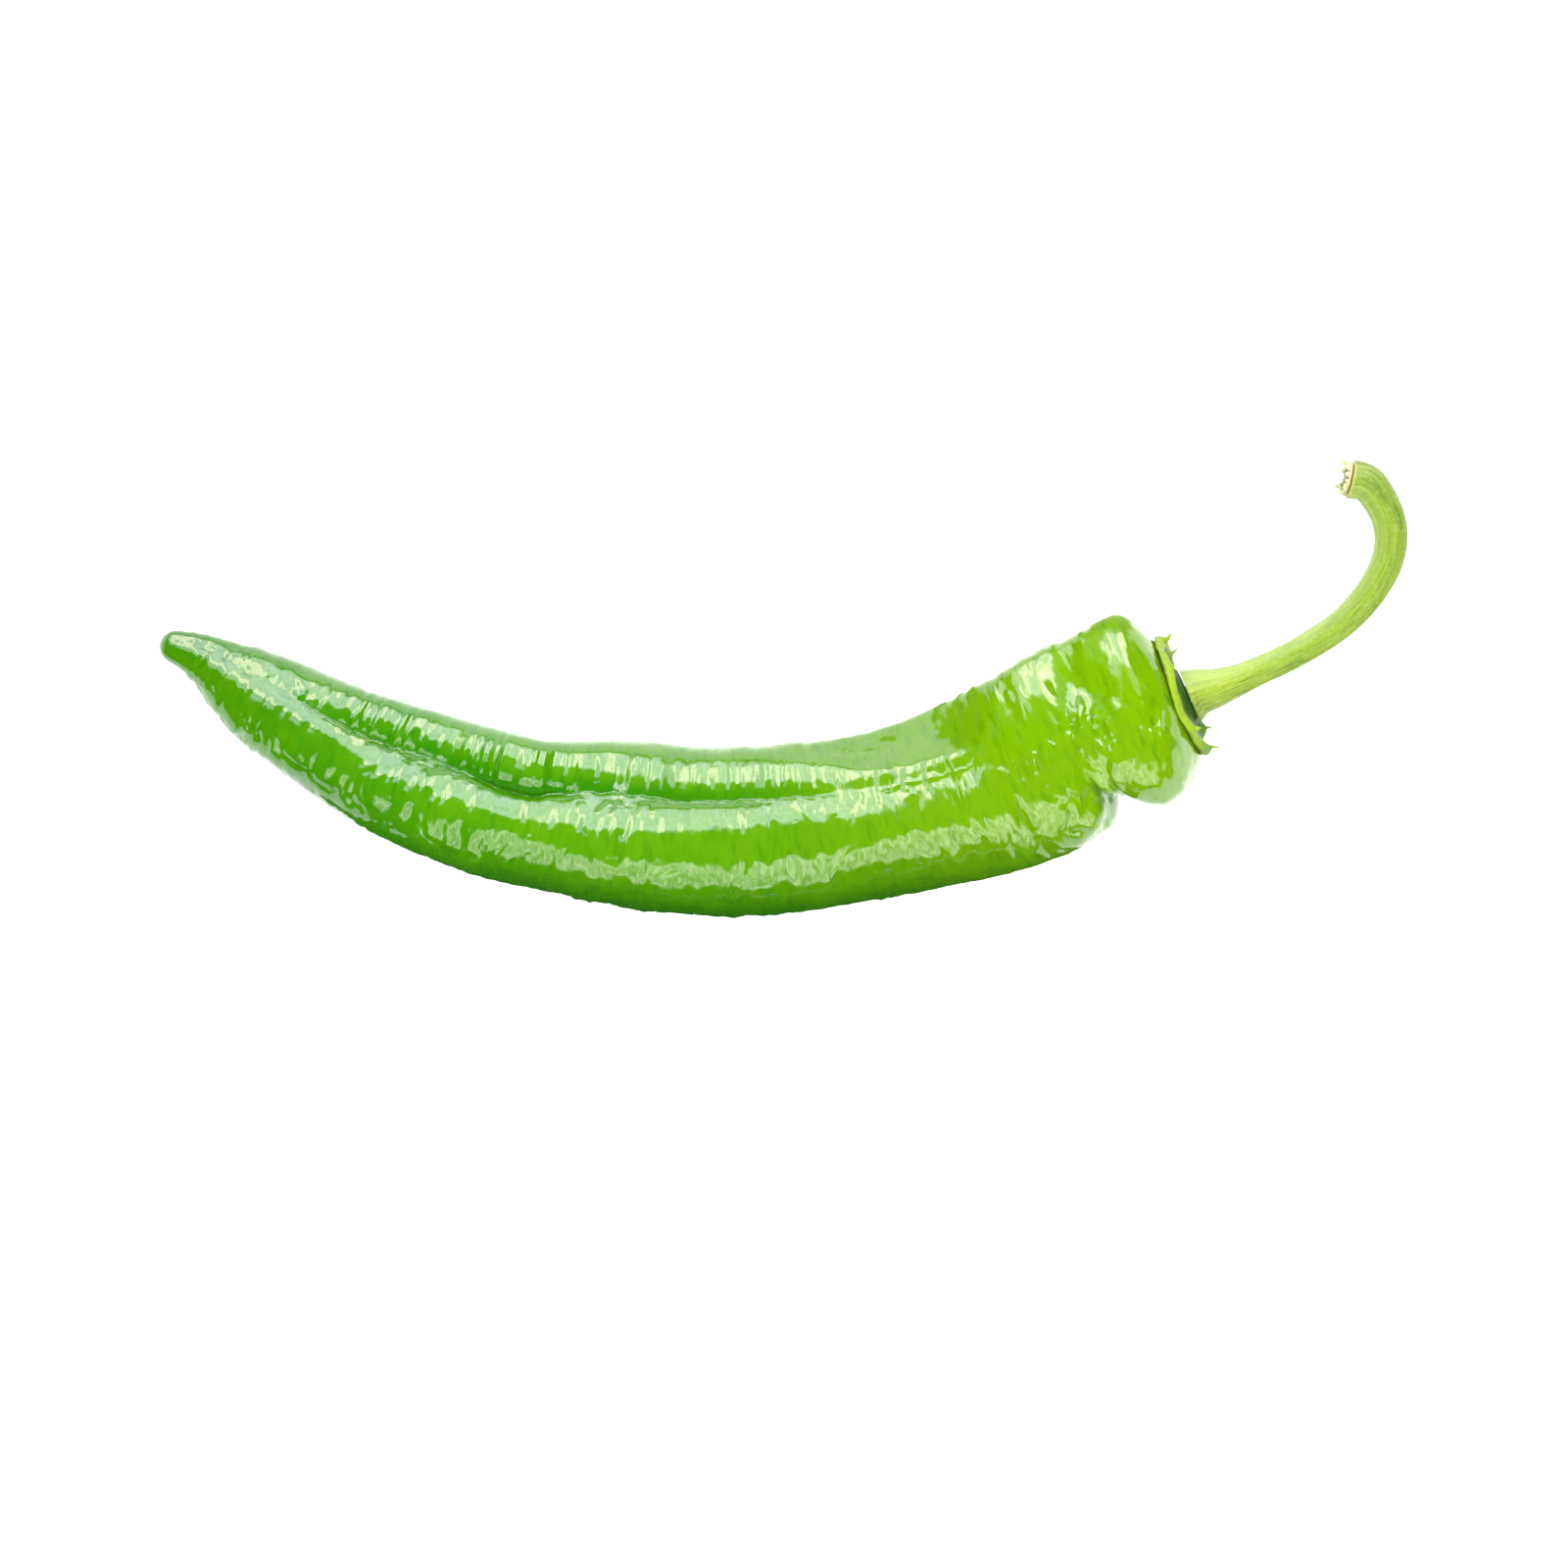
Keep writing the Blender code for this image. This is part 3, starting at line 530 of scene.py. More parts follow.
def skin_offset(degrees, angle, radius):
    """How far round the skin these directions are from an angle, in millimetres."""
    return np.radians(wrapped(degrees - angle)) * radius


def turned(angle, up, side):
    """The directions at an angle in radians, from up towards side."""
    return np.cos(angle)[..., None] * up + np.sin(angle)[..., None] * side


def unit_circle(degrees):
    """Points of a circle, for noise that closes on itself."""
    angle = np.radians(degrees)
    return np.stack([np.cos(angle), np.sin(angle), 0 * degrees], axis=-1)


def lattice_noise(points, seed):
    """Smooth noise from about -1 to 1 at these points, with one lump to each unit of length."""
    table = np.random.default_rng(seed).uniform(-1.0, 1.0, NOISE_TABLE)
    cell = np.floor(points).astype(np.int64)
    t = points - cell
    t = t * t * t * (t * (t * 6.0 - 15.0) + 10.0)
    total = np.zeros(points.shape[:-1])
    for corner in product((0, 1), repeat=3):
        key = np.zeros(points.shape[:-1], np.int64)
        weight = np.ones(points.shape[:-1])
        for axis in range(3):
            key ^= (cell[..., axis] + corner[axis]) * NOISE_PRIMES[axis]
            weight *= t[..., axis] if corner[axis] else 1.0 - t[..., axis]
        total += table[key % NOISE_TABLE] * weight
    return total


def circle_height(across, circle):
    """The upper height of a circle at a place across it. A circle is across, up and radius."""
    centre_across, centre_up, radius = circle
    return centre_up + np.sqrt(np.maximum(radius**2 - (across - centre_across) ** 2, 0.0))


def circle_outline(angle, circle):
    """How far a circle's outline is from the section's middle in a direction, or 0 off it."""
    across, up, radius = circle
    offset = np.hypot(across, up)
    turn = angle - np.arctan2(across, up)
    inside = radius**2 - (offset * np.sin(turn)) ** 2
    return np.where(inside > 0, offset * np.cos(turn) + np.sqrt(np.maximum(inside, 0.0)), 0.0)


def noise_along(distance, seed):
    """Noise along the crest's groove."""
    return lattice_noise(distance[..., None] / LIP_WOBBLE_LENGTH * (1.0, 0.0, 0.0), seed)


def lip_wobble(distance):
    """The raggedness of the crest's groove, as a shift across the pod."""
    return LIP_WOBBLE * noise_along(distance, LIP_SEED) * np.clip(distance / LIP_WOBBLE_START - 1, 0, 1)


def body_lobes(distance):
    """The circles of the body's lobes at these distances, and where the crest's groove lies."""
    half_width = smooth_through(POD_HALF_WIDTH, distance)
    top = half_width * POD_THICKNESS_SHARE
    ridge_radius = smooth_through(RIDGE_RADIUS, distance)
    ridge = (smooth_through(RIDGE_ACROSS, distance), top - ridge_radius, ridge_radius)
    flank_radius = smooth_through(FLANK_RADIUS, distance)
    flank_up = top - FLANK_DROP_SHARE * half_width - flank_radius
    flank = (flank_radius - half_width, flank_up, flank_radius)
    groove_across = smooth_through(CREST_GROOVE, distance) + lip_wobble(distance)
    groove_up = np.maximum(circle_height(groove_across, ridge), circle_height(groove_across, flank))
    hollow_radius = smooth_through(HOLLOW_RADIUS, distance)
    hollow_across = half_width - hollow_radius
    hollow_up = groove_up - circle_height(groove_across, (hollow_across, 0.0, hollow_radius))
    under_radius = half_width * UNDER_RADIUS_SHARE
    under = (half_width * UNDER_ACROSS_SHARE, under_radius - top, under_radius)
    lobes = (ridge, flank, (hollow_across, hollow_up, hollow_radius), under)
    return lobes, np.degrees(np.arctan2(groove_across, groove_up))


def body_radius(distance, degrees):
    """The outline of the lobes together, with soft creases where they meet."""
    lobes, _ = body_lobes(distance)
    outlines = np.stack([circle_outline(np.radians(degrees), lobe) for lobe in lobes])
    outermost = outlines.max(axis=0)
    blended = ((outlines / outermost) ** LOBE_SHARPNESS).sum(axis=0) ** (1 / LOBE_SHARPNESS)
    return outermost * blended


def head_radius(distance, degrees):
    """A slightly flattened circle with three faint lobes, boxy on its upper hollow side."""
    angle = np.radians(degrees)
    half_width = smooth_through(POD_HALF_WIDTH, distance)
    half_height = half_width * POD_THICKNESS_SHARE
    boxy = (np.sin(angle) > 0) & (np.cos(angle) > 0)
    across = half_width * np.where(boxy, smooth_through(HEAD_ARCH_SHARE, distance), 1.0)
    radius = 1 / np.hypot(np.sin(angle) / across, np.cos(angle) / half_height)
    wall = half_width / np.maximum(np.sin(angle), NEAR_ZERO)
    edged = radius / (1 + (radius / wall) ** HEAD_EDGE_SHARPNESS) ** (1 / HEAD_EDGE_SHARPNESS)
    radius = np.where(boxy, edged, radius)
    return radius * (1 + LOBE_SHARE * np.cos(LOBES * (angle - math.radians(LOBE_ANGLE))))


def facet_cut(radius, distance, degrees, half_width):
    """The radius where the flat facet cuts it, with a softly rounded edge."""
    facing = np.cos(np.radians(wrapped(degrees - FACET_ANGLE)))
    towards_crest = np.clip((FACET_SLANT_FROM - wrapped(degrees)) / FACET_SLANT_SPAN, 0, FACET_SLANT_LIMIT)
    slanted = distance - FACET_SLANT * towards_crest**FACET_SLANT_POWER
    facet = smooth_through(FACET_SHARE, slanted) * half_width / np.maximum(facing, NEAR_ZERO)
    share = (radius / facet) ** FACET_SHARPNESS
    return radius / (1 + share) ** (1 / FACET_SHARPNESS)


def groove_depth(groove, centre, distance, degrees, radius):
    """How far a lengthwise groove lowers the skin: a soft V about its centre angle."""
    across = skin_offset(degrees, centre, radius)
    steepness = np.sqrt((across / groove["reach"]) ** 2 + GROOVE_SOFTNESS**2) - GROOVE_SOFTNESS
    return smooth_through(groove["depth"], distance) * np.exp(-steepness)


def lip_height(distance, across):
    """The ragged bead along the outer side of the crest's groove."""
    height = LIP_HEIGHT * (1 + noise_along(distance, LIP_SEED + 1))
    height = height * np.interp(distance, LIP_SPAN, (0.0, 1.0, 1.0, 0.0))
    return height * bump((across - LIP_OFFSET) / LIP_REACH)


def all_grooves_depth(distance, degrees, radius):
    _, crest = body_lobes(distance)
    total = groove_depth(CREST_SLOT, crest, distance, degrees, radius)
    total = total - lip_height(distance, skin_offset(degrees, crest, radius))
    for groove in (BACK_GROOVE, FRONT_GROOVE):
        centre = smooth_through(groove["angle"], distance)
        total = total + groove_depth(groove, centre, distance, degrees, radius)
    return total


def fold_depth(distance, degrees, length):
    """How far the fold between body and head lowers the skin."""
    angle = wrapped(degrees)
    past = distance - (length - smooth_through(FOLD_FROM_SEAT, angle))
    body_side = np.exp(-np.abs(past) / FOLD_BODY_REACH)
    head_side = np.exp(-((past / FOLD_HEAD_REACH) ** 2))
    return smooth_through(FOLD_DEPTH, angle) * np.where(past < 0, body_side, head_side)


def dent_depth(distance, degrees, radius):
    """How far the single dents lower the skin, and the swellings raise it."""
    total = np.zeros_like(distance)
    for place, angle, along, around, depth in DENTS:
        across = skin_offset(degrees, angle, radius)
        total += depth * bump((distance - place) / along) * bump(across / around)
    return total


def layered_relief(straight, layers):
    """The layers of relief added up, each given by reach along, reach round, height and seed."""
    return sum(height * lattice_noise(straight / (along, around, around), seed)
               for along, around, height, seed in layers)


def skin_relief(straight, distance):
    """Lumps, mostly crosswise wrinkles and thin creases of the skin, in millimetres outward."""
    warp = WARP_REACH * lattice_noise(straight / WARP_SIZE, WARP_SEED)
    warped = straight + warp[..., None] * (1.0, 0.0, 0.0)
    wrinkles = layered_relief(warped, WRINKLES)
    for along, around, height, seed in CREASES:
        off = np.abs(lattice_noise(warped / (along, around, around), seed)) / CREASE_WIDTH
        wrinkles -= height * np.clip(1 - off, 0, 1)
    patches = 1 + PATCH_STRENGTH * lattice_noise(straight / PATCH_SIZE, PATCH_SEED)
    degrees = np.degrees(np.arctan2(straight[..., 1], straight[..., 2]))
    patches += FLANK_WRINKLES * bump((degrees - FLANK_ANGLE) / FLANK_SPAN)
    for place, angle, along, around, strength in WRINKLED_SPOTS:
        across = skin_offset(degrees, angle, smooth_through(POD_HALF_WIDTH, distance))
        patches += strength * bump((distance - place) / along) * bump(across / around)
    relief = layered_relief(straight, LUMPS) + wrinkles * patches
    return relief * np.clip(distance / RELIEF_TIP_FADE, RELIEF_AT_TIP, 1.0)


def seat_drop(degrees):
    """How far the calyx's edge and the pod's shoulder under it reach down along the pod."""
    return SEAT_DROP * bump(wrapped(degrees - SEAT_DROP_ANGLE) / SEAT_DROP_SPAN)


def draped(distances, degrees, length):
    """Distances of the rings' points, where the last rings follow the calyx's draped edge."""
    near = np.clip(1 - (length - distances) / SEAT_DROP_LENGTH, 0, 1) ** 2
    return distances[:, None] - seat_drop(degrees) * near[:, None]


def pod_radius(distance, degrees, length):
    """The pod's radius at a distance from its tip, in a direction round its centre line."""
    half_width = smooth_through(POD_HALF_WIDTH, distance)
    to_head = np.clip((distance - BODY_END[0]) / (BODY_END[1] - BODY_END[0]), 0, 1)
    to_head = to_head * to_head * (3 - 2 * to_head)
    body, head = body_radius(distance, degrees), head_radius(distance, degrees)
    full = facet_cut(body + (head - body) * to_head, distance, degrees, half_width)
    full = full - all_grooves_depth(distance, degrees, half_width)
    full = full - fold_depth(distance, degrees, length) - dent_depth(distance, degrees, half_width)
    from_tip = np.clip(1 - distance / TIP_ROUNDING, 0, 1)
    full = full * np.sqrt(1 - from_tip**2)
    outer_share = (1 - np.sin(np.radians(degrees))) / 2
    shoulder = SHOULDER_LENGTH[0] + (SHOULDER_LENGTH[1] - SHOULDER_LENGTH[0]) * outer_share
    power = SHOULDER_POWER[0] + (SHOULDER_POWER[1] - SHOULDER_POWER[0]) * outer_share
    over = np.clip(1 - (length - seat_drop(degrees) - distance) / shoulder, 0, 1)
    end = (1 - SHOULDER_TURN**2) ** power
    share = ((1 - (SHOULDER_TURN * over) ** 2) ** power - end) / (1 - end)
    return SEAT_RADIUS + (full - SEAT_RADIUS) * share


def pod_distances(length):
    """Where the pod's rings lie, closer together at the tip and the shoulder."""
    tip_turn = np.linspace(0.0, math.pi / 2, POD_TIP_RINGS + 1)[1:]
    tip = TIP_ROUNDING * (1 - np.cos(tip_turn))
    body = np.arange(TIP_ROUNDING + POD_SPACING, length - SHOULDER_LENGTH[1], POD_SPACING)
    turn = np.linspace(0.0, math.pi / 2, POD_SHOULDER_RINGS + 1)[1:]
    shoulder = length - SHOULDER_LENGTH[1] * (1 - np.sin(turn))
    return np.concatenate([tip, body, shoulder])


def painted_shade(distance, degrees, crest):
    """Where shade is painted as a deeper green: low on the outer side and along the crest's groove."""
    low = bump(wrapped(degrees - SHADE_ANGLE) / SHADE_SPAN) * smooth_through(LOW_SIDE_SHADE, distance)
    across = skin_offset(degrees, crest, smooth_through(POD_HALF_WIDTH, distance))
    groove = bump((across - GROOVE_SHADE_OFFSET) / GROOVE_SHADE_REACH) * smooth_through(GROOVE_SHADE, distance)
    return np.maximum(low, groove)


def skin_gloss(straight):
    """How glossy the skin is: 1, and less in the ragged duller patches."""
    distance, across = straight[..., 0], straight[..., 1]
    ragged = DULL_RAGGED * lattice_noise(straight / DULL_RAGGED_SIZE, DULL_SEED)
    duller = np.zeros_like(distance)
    for place, middle, along, around, shift, strength in DULL_PATCHES:
        off = across - middle
        share = ((distance - place - shift * off) / along) ** DULL_SQUARENESS
        share = (share + (off / around) ** DULL_SQUARENESS) ** (1 / DULL_SQUARENESS)
        edge = np.clip((1 + ragged - share) / DULL_EDGE, 0, 1)
        duller = np.maximum(duller, strength * edge * (straight[..., 2] > 0))
    return 1 - duller


def pod_surface():
    """The pod's rings of points, with the fields that its material reads."""
    length = line_length(POD_LINE)
    distances = pod_distances(length)
    turn = np.arange(POD_SIDES) * 2 * math.pi / POD_SIDES
    spread = np.degrees(turn - POD_CROWDING * np.sin(turn))
    _, crest = body_lobes(distances)
    degrees = crest[:, None] + spread
    distance = draped(distances, degrees, length)
    centre, _, side, up = frames_along(POD_LINE, distance)
    angle = np.radians(degrees)
    half_width = smooth_through(POD_HALF_WIDTH, distance)
    straight = np.stack([distance, half_width * np.sin(angle), half_width * np.cos(angle)], axis=-1)
    radius = pod_radius(distance, degrees, length) + skin_relief(straight, distance)
    rings = centre + turned(angle, up, side) * radius[..., None]
    rings[..., 2] = np.maximum(rings[..., 2], 0.0)
    fields = {
        "along": distance / length,
        "straight_x": straight[..., 0],
        "straight_y": straight[..., 1],
        "straight_z": straight[..., 2],
        # Where shade is painted on the skin.
        "deep": painted_shade(distance, degrees, crest[:, None]),
        "gloss": skin_gloss(straight),
    }
    return rings, fields


def closed_mesh(rings, start, end):
    """Points and faces of one closed body from rings, with a middle point at each end."""
    count, sides = rings.shape[:2]
    points = np.concatenate([rings.reshape(-1, 3), [start, end]])
    i, j = np.meshgrid(np.arange(count - 1), np.arange(sides), indexing="ij")
    k = (j + 1) % sides
    quads = np.stack([i * sides + j, (i + 1) * sides + j, (i + 1) * sides + k, i * sides + k], axis=-1)
    side = np.arange(sides)
    after = (side + 1) % sides
    first, last = count * sides, count * sides + 1
    base = (count - 1) * sides
    start_fan = np.stack([np.full(sides, first), side, after], axis=-1)
    end_fan = np.stack([np.full(sides, last), base + after, base + side], axis=-1)
    return points, quads.reshape(-1, 4).tolist() + start_fan.tolist() + end_fan.tolist()


def with_ends(field):
    """A field of the rings, followed by its values at the two middle points."""
    return np.concatenate([field.reshape(-1), [field[0].mean(), field[-1].mean()]])


def make_piece(name, points, faces, fields, material, node):
    """A finished piece that stands for a node of the solid model."""
    mesh = bpy.data.meshes.new(name)
    mesh.from_pydata(((points + PLACE) * MM).tolist(), [], faces)
    for field, values in fields.items():
        layer = mesh.attributes.new(field, "FLOAT", "POINT")
        layer.data.foreach_set("value", values.astype(np.float32))
    mesh.materials.append(material)
    mesh.shade_smooth()
    piece = add_object(name, mesh)
    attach(piece, "root")
    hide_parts(node)


def make_pod():
    rings, fields = pod_surface()
    points, faces = closed_mesh(rings, np.array(POD_LINE[0]), np.array(POD_LINE[-1]))
    fields = {name: with_ends(field) for name, field in fields.items()}
    make_piece("pod_skin_surface", points, faces, fields, skin_material(), "pod")


def pod_seat():
    """Centre, outward axis and side of the flat face where the calyx sits on the pod."""
    length = line_length(POD_LINE)
    centre, forward, side, _ = frames_along(POD_LINE, np.array([length]))
    return centre[0], forward[0], side[0]


def turned_rings(centre, axis, side, radius, height, degrees):
    """Rings of a shape turned about an axis, from the radius and height of each of its points."""
    outward = turned(np.radians(degrees), np.cross(axis, side), side)
    return centre + outward[None] * radius[..., None] + axis * height[..., None]


def horn(root, tip, curl, width):
    """One curled tooth: a thin closed cone bent from its root to its tip."""
    share = np.linspace(0.0, 1.0, HORN_RINGS)
    bend = np.sin(share * math.pi)[:, None] * curl
    centre = root + (tip - root) * share[:, None] + bend
    forward = unit(tip - root)
    side = unit(np.cross(forward, [0.0, 0.0, 1.0]))
    up = np.cross(side, forward)
    radius = HORN_RADIUS * width * (1 - share) ** HORN_TAPER + HORN_TIP_RADIUS
    angle = np.arange(HORN_SIDES) * 2 * math.pi / HORN_SIDES
    rings = centre[:, None] + turned(angle, up, side)[None] * radius[:, None, None]
    return closed_mesh(rings[:, ::-1], centre[0], centre[-1])


def calyx_horns(centre, axis, side):
    """Points and faces of the horn at each tooth."""
    up = np.cross(axis, side)
    for angle, length, width in CALYX_TEETH:
        out = math.cos(math.radians(angle)) * up + math.sin(math.radians(angle)) * side
        root = centre + out * HORN_ROOT_RADIUS + axis * (HORN_ROOT_HEIGHT - HORN_SINK - seat_drop(angle))
        tip = root + axis * (length + HORN_SINK + HORN_RISE) + out * HORN_LEAN * length
        yield horn(root, tip, -out * HORN_CURL * length / HORN_CURL_LENGTH, width)


def calyx_edge_shape(degrees):
    """How far the calyx's edge goes outward, and how far up, at these angles."""
    out_waves, in_waves = CALYX_WAVE_COUNTS
    wave = CALYX_WAVE * np.sin(np.radians(out_waves * degrees + CALYX_WAVE_TURN))
    wave = wave * np.cos(np.radians(in_waves * degrees))
    sway = CALYX_SWAY * np.sin(np.radians(CALYX_SWAY_COUNT * degrees + CALYX_SWAY_TURN))
    circle = unit_circle(degrees)
    crinkle = sum(height * lattice_noise(circle * fine, seed) for fine, height, seed in CALYX_CRINKLES)
    tooth = np.zeros(CALYX_SIDES)
    for angle, length, width in CALYX_TEETH:
        tooth += TOOTH_RISE * length * bump(wrapped(degrees - angle) / (TOOTH_SPAN * width))
    return wave + crinkle + TOOTH_SPREAD * tooth, tooth + crinkle + sway


def calyx_surface(centre, axis, side):
    """The calyx's rings of points, with the fields that its material reads."""
    degrees = np.arange(CALYX_SIDES) * 360.0 / CALYX_SIDES
    section = by_distance(CALYX_SECTION)
    path = smooth_through(section, np.linspace(0.0, section[-1][0], CALYX_RINGS))
    plain_radius, plain_height = path[:, [0]], path[:, [1]]
    upper = plain_height > CALYX_UPPER_FROM
    rim = bump((plain_radius - CALYX_RIM_RADIUS) / CALYX_RIM_REACH) * upper
    dish = bump((plain_radius - CALYX_DISH_RADIUS) / CALYX_DISH_REACH) * upper
    lip = np.clip((plain_radius - CALYX_LIP_RADIUS) / CALYX_LIP_REACH, 0, 1)
    outward, upward = calyx_edge_shape(degrees)
    ribs = CALYX_RIB_HEIGHT * np.cos(np.radians(CALYX_RIBS * degrees))
    radius = plain_radius + rim * outward + lip * CALYX_LIP_SPREAD
    height = plain_height + rim * upward + dish * ribs - lip * CALYX_LIP_DROOP
    height = height - seat_drop(degrees) * np.clip((radius - DRAPE_FROM) / DRAPE_REACH, 0, 1) ** DRAPE_POWER
    rings = turned_rings(centre, axis, side, radius, height, degrees)[::-1]
    yellow = smooth_through(CALYX_EDGE_YELLOW, wrapped(degrees))
    fields = {
        "rim": rim,
        "yellow": yellow * (1 - YELLOW_LOSS * (plain_height < YELLOW_HEIGHT)),
        "brown": bump((plain_height - BROWN_HEIGHT) / BROWN_REACH) * (plain_radius > BROWN_FROM_RADIUS),
    }
    for name, values in fields.items():
        fields[name] = with_ends(np.broadcast_to(values, radius.shape)[::-1])
    return rings, fields


def make_calyx():
    """The green cap of grown-together sepals, ribbed, with small curled horns on its edge."""
    centre, axis, side = pod_seat()
    rings, fields = calyx_surface(centre, axis, side)
    points, faces = closed_mesh(rings, centre + axis * GAP, centre + axis * CALYX_SECTION[0][1])
    for horn_points, horn_faces in calyx_horns(centre, axis, side):
        shift = len(points)
        points = np.concatenate([points, horn_points])
        faces += [[corner + shift for corner in face] for face in horn_faces]
        for name, value in HORN_FIELDS.items():
            fields[name] = np.concatenate([fields[name], np.full(len(horn_points), value)])
    make_piece("calyx_surface", points, faces, fields, calyx_material(), "calyx")


def stem_points():
    """The stem's centre line, from just above the calyx to its torn end."""
    centre, axis, side = pod_seat()
    seat = centre + axis * (CALYX_SECTION[0][1] + GAP) + side * STEM_SHIFT
    return [seat, seat + axis * STEM_STRAIGHT, *STEM_LINE]


def make_stem():
    """The curved stem, flared at the calyx and at its end, ridged along its length."""
    points = stem_points()
    length = line_length(points)
    distances = np.linspace(0.0, length, STEM_RINGS)
    centre, _, side, up = frames_along(points, distances)
    turn = np.radians(np.arange(STEM_SIDES) * 360.0 / STEM_SIDES)
    distance, angle = np.meshgrid(distances, turn, indexing="ij")
    around_x, around_y = np.sin(angle), np.cos(angle)
    place = (distance / STEM_FIBRE_LENGTH, STEM_FIBRES * around_x, STEM_FIBRES * around_y)
    place = np.stack(place, axis=-1)
    furrows = sum(height * lattice_noise(place * scale, seed) for scale, height, seed in STEM_FURROWS)
    lump_scale, lump_height, lump_seed = STEM_LUMPS
    lumps = lump_height * lattice_noise(place * lump_scale, lump_seed)
    ridges = 1 + STEM_RIDGE_SHARE * np.cos(STEM_RIDGES * angle)
    radius = smooth_through(STEM_RADIUS, distances)[:, None] * ridges + furrows + lumps
    rings = centre[:, None] + turned(angle, up[:, None], side[:, None]) * radius[..., None]
    mesh_points, faces = closed_mesh(rings, centre[0], centre[-1])
    # Where the surface dips, for the painted shade in the furrows.
    fields = {"along": distance / length, "furrow_shade": -furrows / STEM_FURROW_DEPTH,
              "around_x": around_x, "around_y": around_y}
    fields = {name: with_ends(values) for name, values in fields.items()}
    make_piece("stem_surface", mesh_points, faces, fields, stem_material(), "stem")


def torn_shreds(degrees):
    """How high the torn shreds reach over the crown's floor, and how far they lean out."""
    circle = unit_circle(degrees)
    shreds = np.full(TORN_SIDES, TORN_LOWEST)
    for place, length, half_width in TORN_SHREDS:
        off = np.abs(wrapped(degrees - place)) / half_width
        shreds = np.maximum(shreds, length * np.clip(TORN_SHRED_EDGE - off, 0, 1))
    shreds = shreds + TORN_RAGGED * lattice_noise(circle * TORN_RAGGED_FINENESS, TORN_SEED)
    return shreds, TORN_LEAN * lattice_noise(circle * TORN_LEAN_FINENESS, TORN_SEED + 1)


def torn_section(shreds, lean):
    """The crown's section at each angle: a table of radius and a table of height."""
    outer = TORN_RADIUS - TORN_STEP
    inner = outer - TORN_WALL
    bend = lean * TORN_HALFWAY
    halfway = TORN_FLOOR + shreds * TORN_HALFWAY
    section = (
        (TORN_RADIUS / 2, GAP),
        (TORN_RADIUS, GAP),
        (TORN_RADIUS, TORN_FOOT),
        (outer, TORN_FLOOR),
        (outer + bend, halfway),
        (outer + lean - TORN_TOP_OUTER, TORN_FLOOR + shreds),
        (outer + lean - TORN_TOP_INNER, TORN_FLOOR + shreds - TORN_TOP_DROP),
        (inner + bend, halfway),
        (inner, TORN_FLOOR),
        (inner / 2, TORN_FLOOR + TORN_DOME),
    )
    return [np.array([np.broadcast_to(row[k], TORN_SIDES) for row in section]) for k in (0, 1)]


def between_rows(table, at):
    """A table read between its rows, at places counted in rows."""
    left = np.clip(at.astype(int), 0, len(table) - 2)
    share = (at - left)[:, None]
    return table[left] * (1 - share) + table[left + 1] * share


def make_torn_end():
    """The ragged crown where the stem was pulled from the plant, hollow inside."""
    points = stem_points()
    centre, axis, side, _ = (found[0] for found in frames_along(points, np.array([line_length(points)])))
    degrees = np.arange(TORN_SIDES) * 360.0 / TORN_SIDES
    radius, height = torn_section(*torn_shreds(degrees))
    at = np.linspace(0.0, len(radius) - 1.0, TORN_RINGS)
    radius, height = between_rows(radius, at), between_rows(height, at)
    fibre_at = unit_circle(degrees) * TORN_FIBRES + np.zeros_like(radius)[..., None]
    fibre_at[..., 2] = height * TORN_FIBRE_RISE
    radius = radius + TORN_FIBRE_HEIGHT * lattice_noise(fibre_at, TORN_SEED + 2)
    rings = turned_rings(centre, axis, side, radius, height, degrees)
    floor = centre + axis * (TORN_FLOOR + TORN_DOME)
    mesh_points, faces = closed_mesh(rings, centre + axis * GAP, floor)
    # The rows inside the hollow, where shade is painted.
    inside = np.repeat((at > TORN_INSIDE_FROM).astype(float)[:, None], TORN_SIDES, axis=1)
    fields = {
        "height": with_ends(np.clip((height - GAP) / TORN_FULL_HEIGHT, 0, 1)),
        "inside": with_ends(inside),
    }
    material = torn_material()
    make_piece("torn_end_surface", mesh_points, faces, fields, material, "stem_torn_end")


def fill(tree, made, inputs):
    """Fills a node's inputs, each with a value or with another node's socket."""
    for name, value in inputs.items():
        if isinstance(value, bpy.types.NodeSocket):
            tree.links.new(value, made.inputs[name])
        else:
            made.inputs[name].default_value = value


def node(tree, kind, inputs, **settings):
    """A shader node with its settings and its inputs filled."""
    made = tree.nodes.new(kind)
    for name, value in settings.items():
        setattr(made, name, value)
    fill(tree, made, inputs)
    return made


def calculate(tree, operation, first, second):
    """The sum or the product of two numbers."""
    return node(tree, "ShaderNodeMath", {0: first, 1: second}, operation=operation).outputs["Value"]


def combined(tree, x, y, z):
    return node(tree, "ShaderNodeCombineXYZ", {"X": x, "Y": y, "Z": z}).outputs["Vector"]


def scaled(tree, vector, scale):
    """A vector with each of its parts multiplied."""
    return node(tree, "ShaderNodeVectorMath", {0: vector, 1: scale}, operation="MULTIPLY").outputs["Vector"]


def coordinates(tree, kind):
    return node(tree, "ShaderNodeTexCoord", {}).outputs[kind]


def field(tree, name):
    """A field of the mesh, as a number."""
    made = node(tree, "ShaderNodeAttribute", {}, attribute_name=name, attribute_type="GEOMETRY")
    return made.outputs["Fac"]


def ramp(tree, factor, stops):
    """Colours along a number from 0 to 1, each stop a position and a colour."""
    made = node(tree, "ShaderNodeValToRGB", {"Fac": factor})
    elements = made.color_ramp.elements
    while len(elements) < len(stops):
        elements.new(0.5)
    for element, (position, colour) in zip(elements, stops):
        element.position = position
        element.color = (*colour, 1.0)
    return made.outputs["Color"]


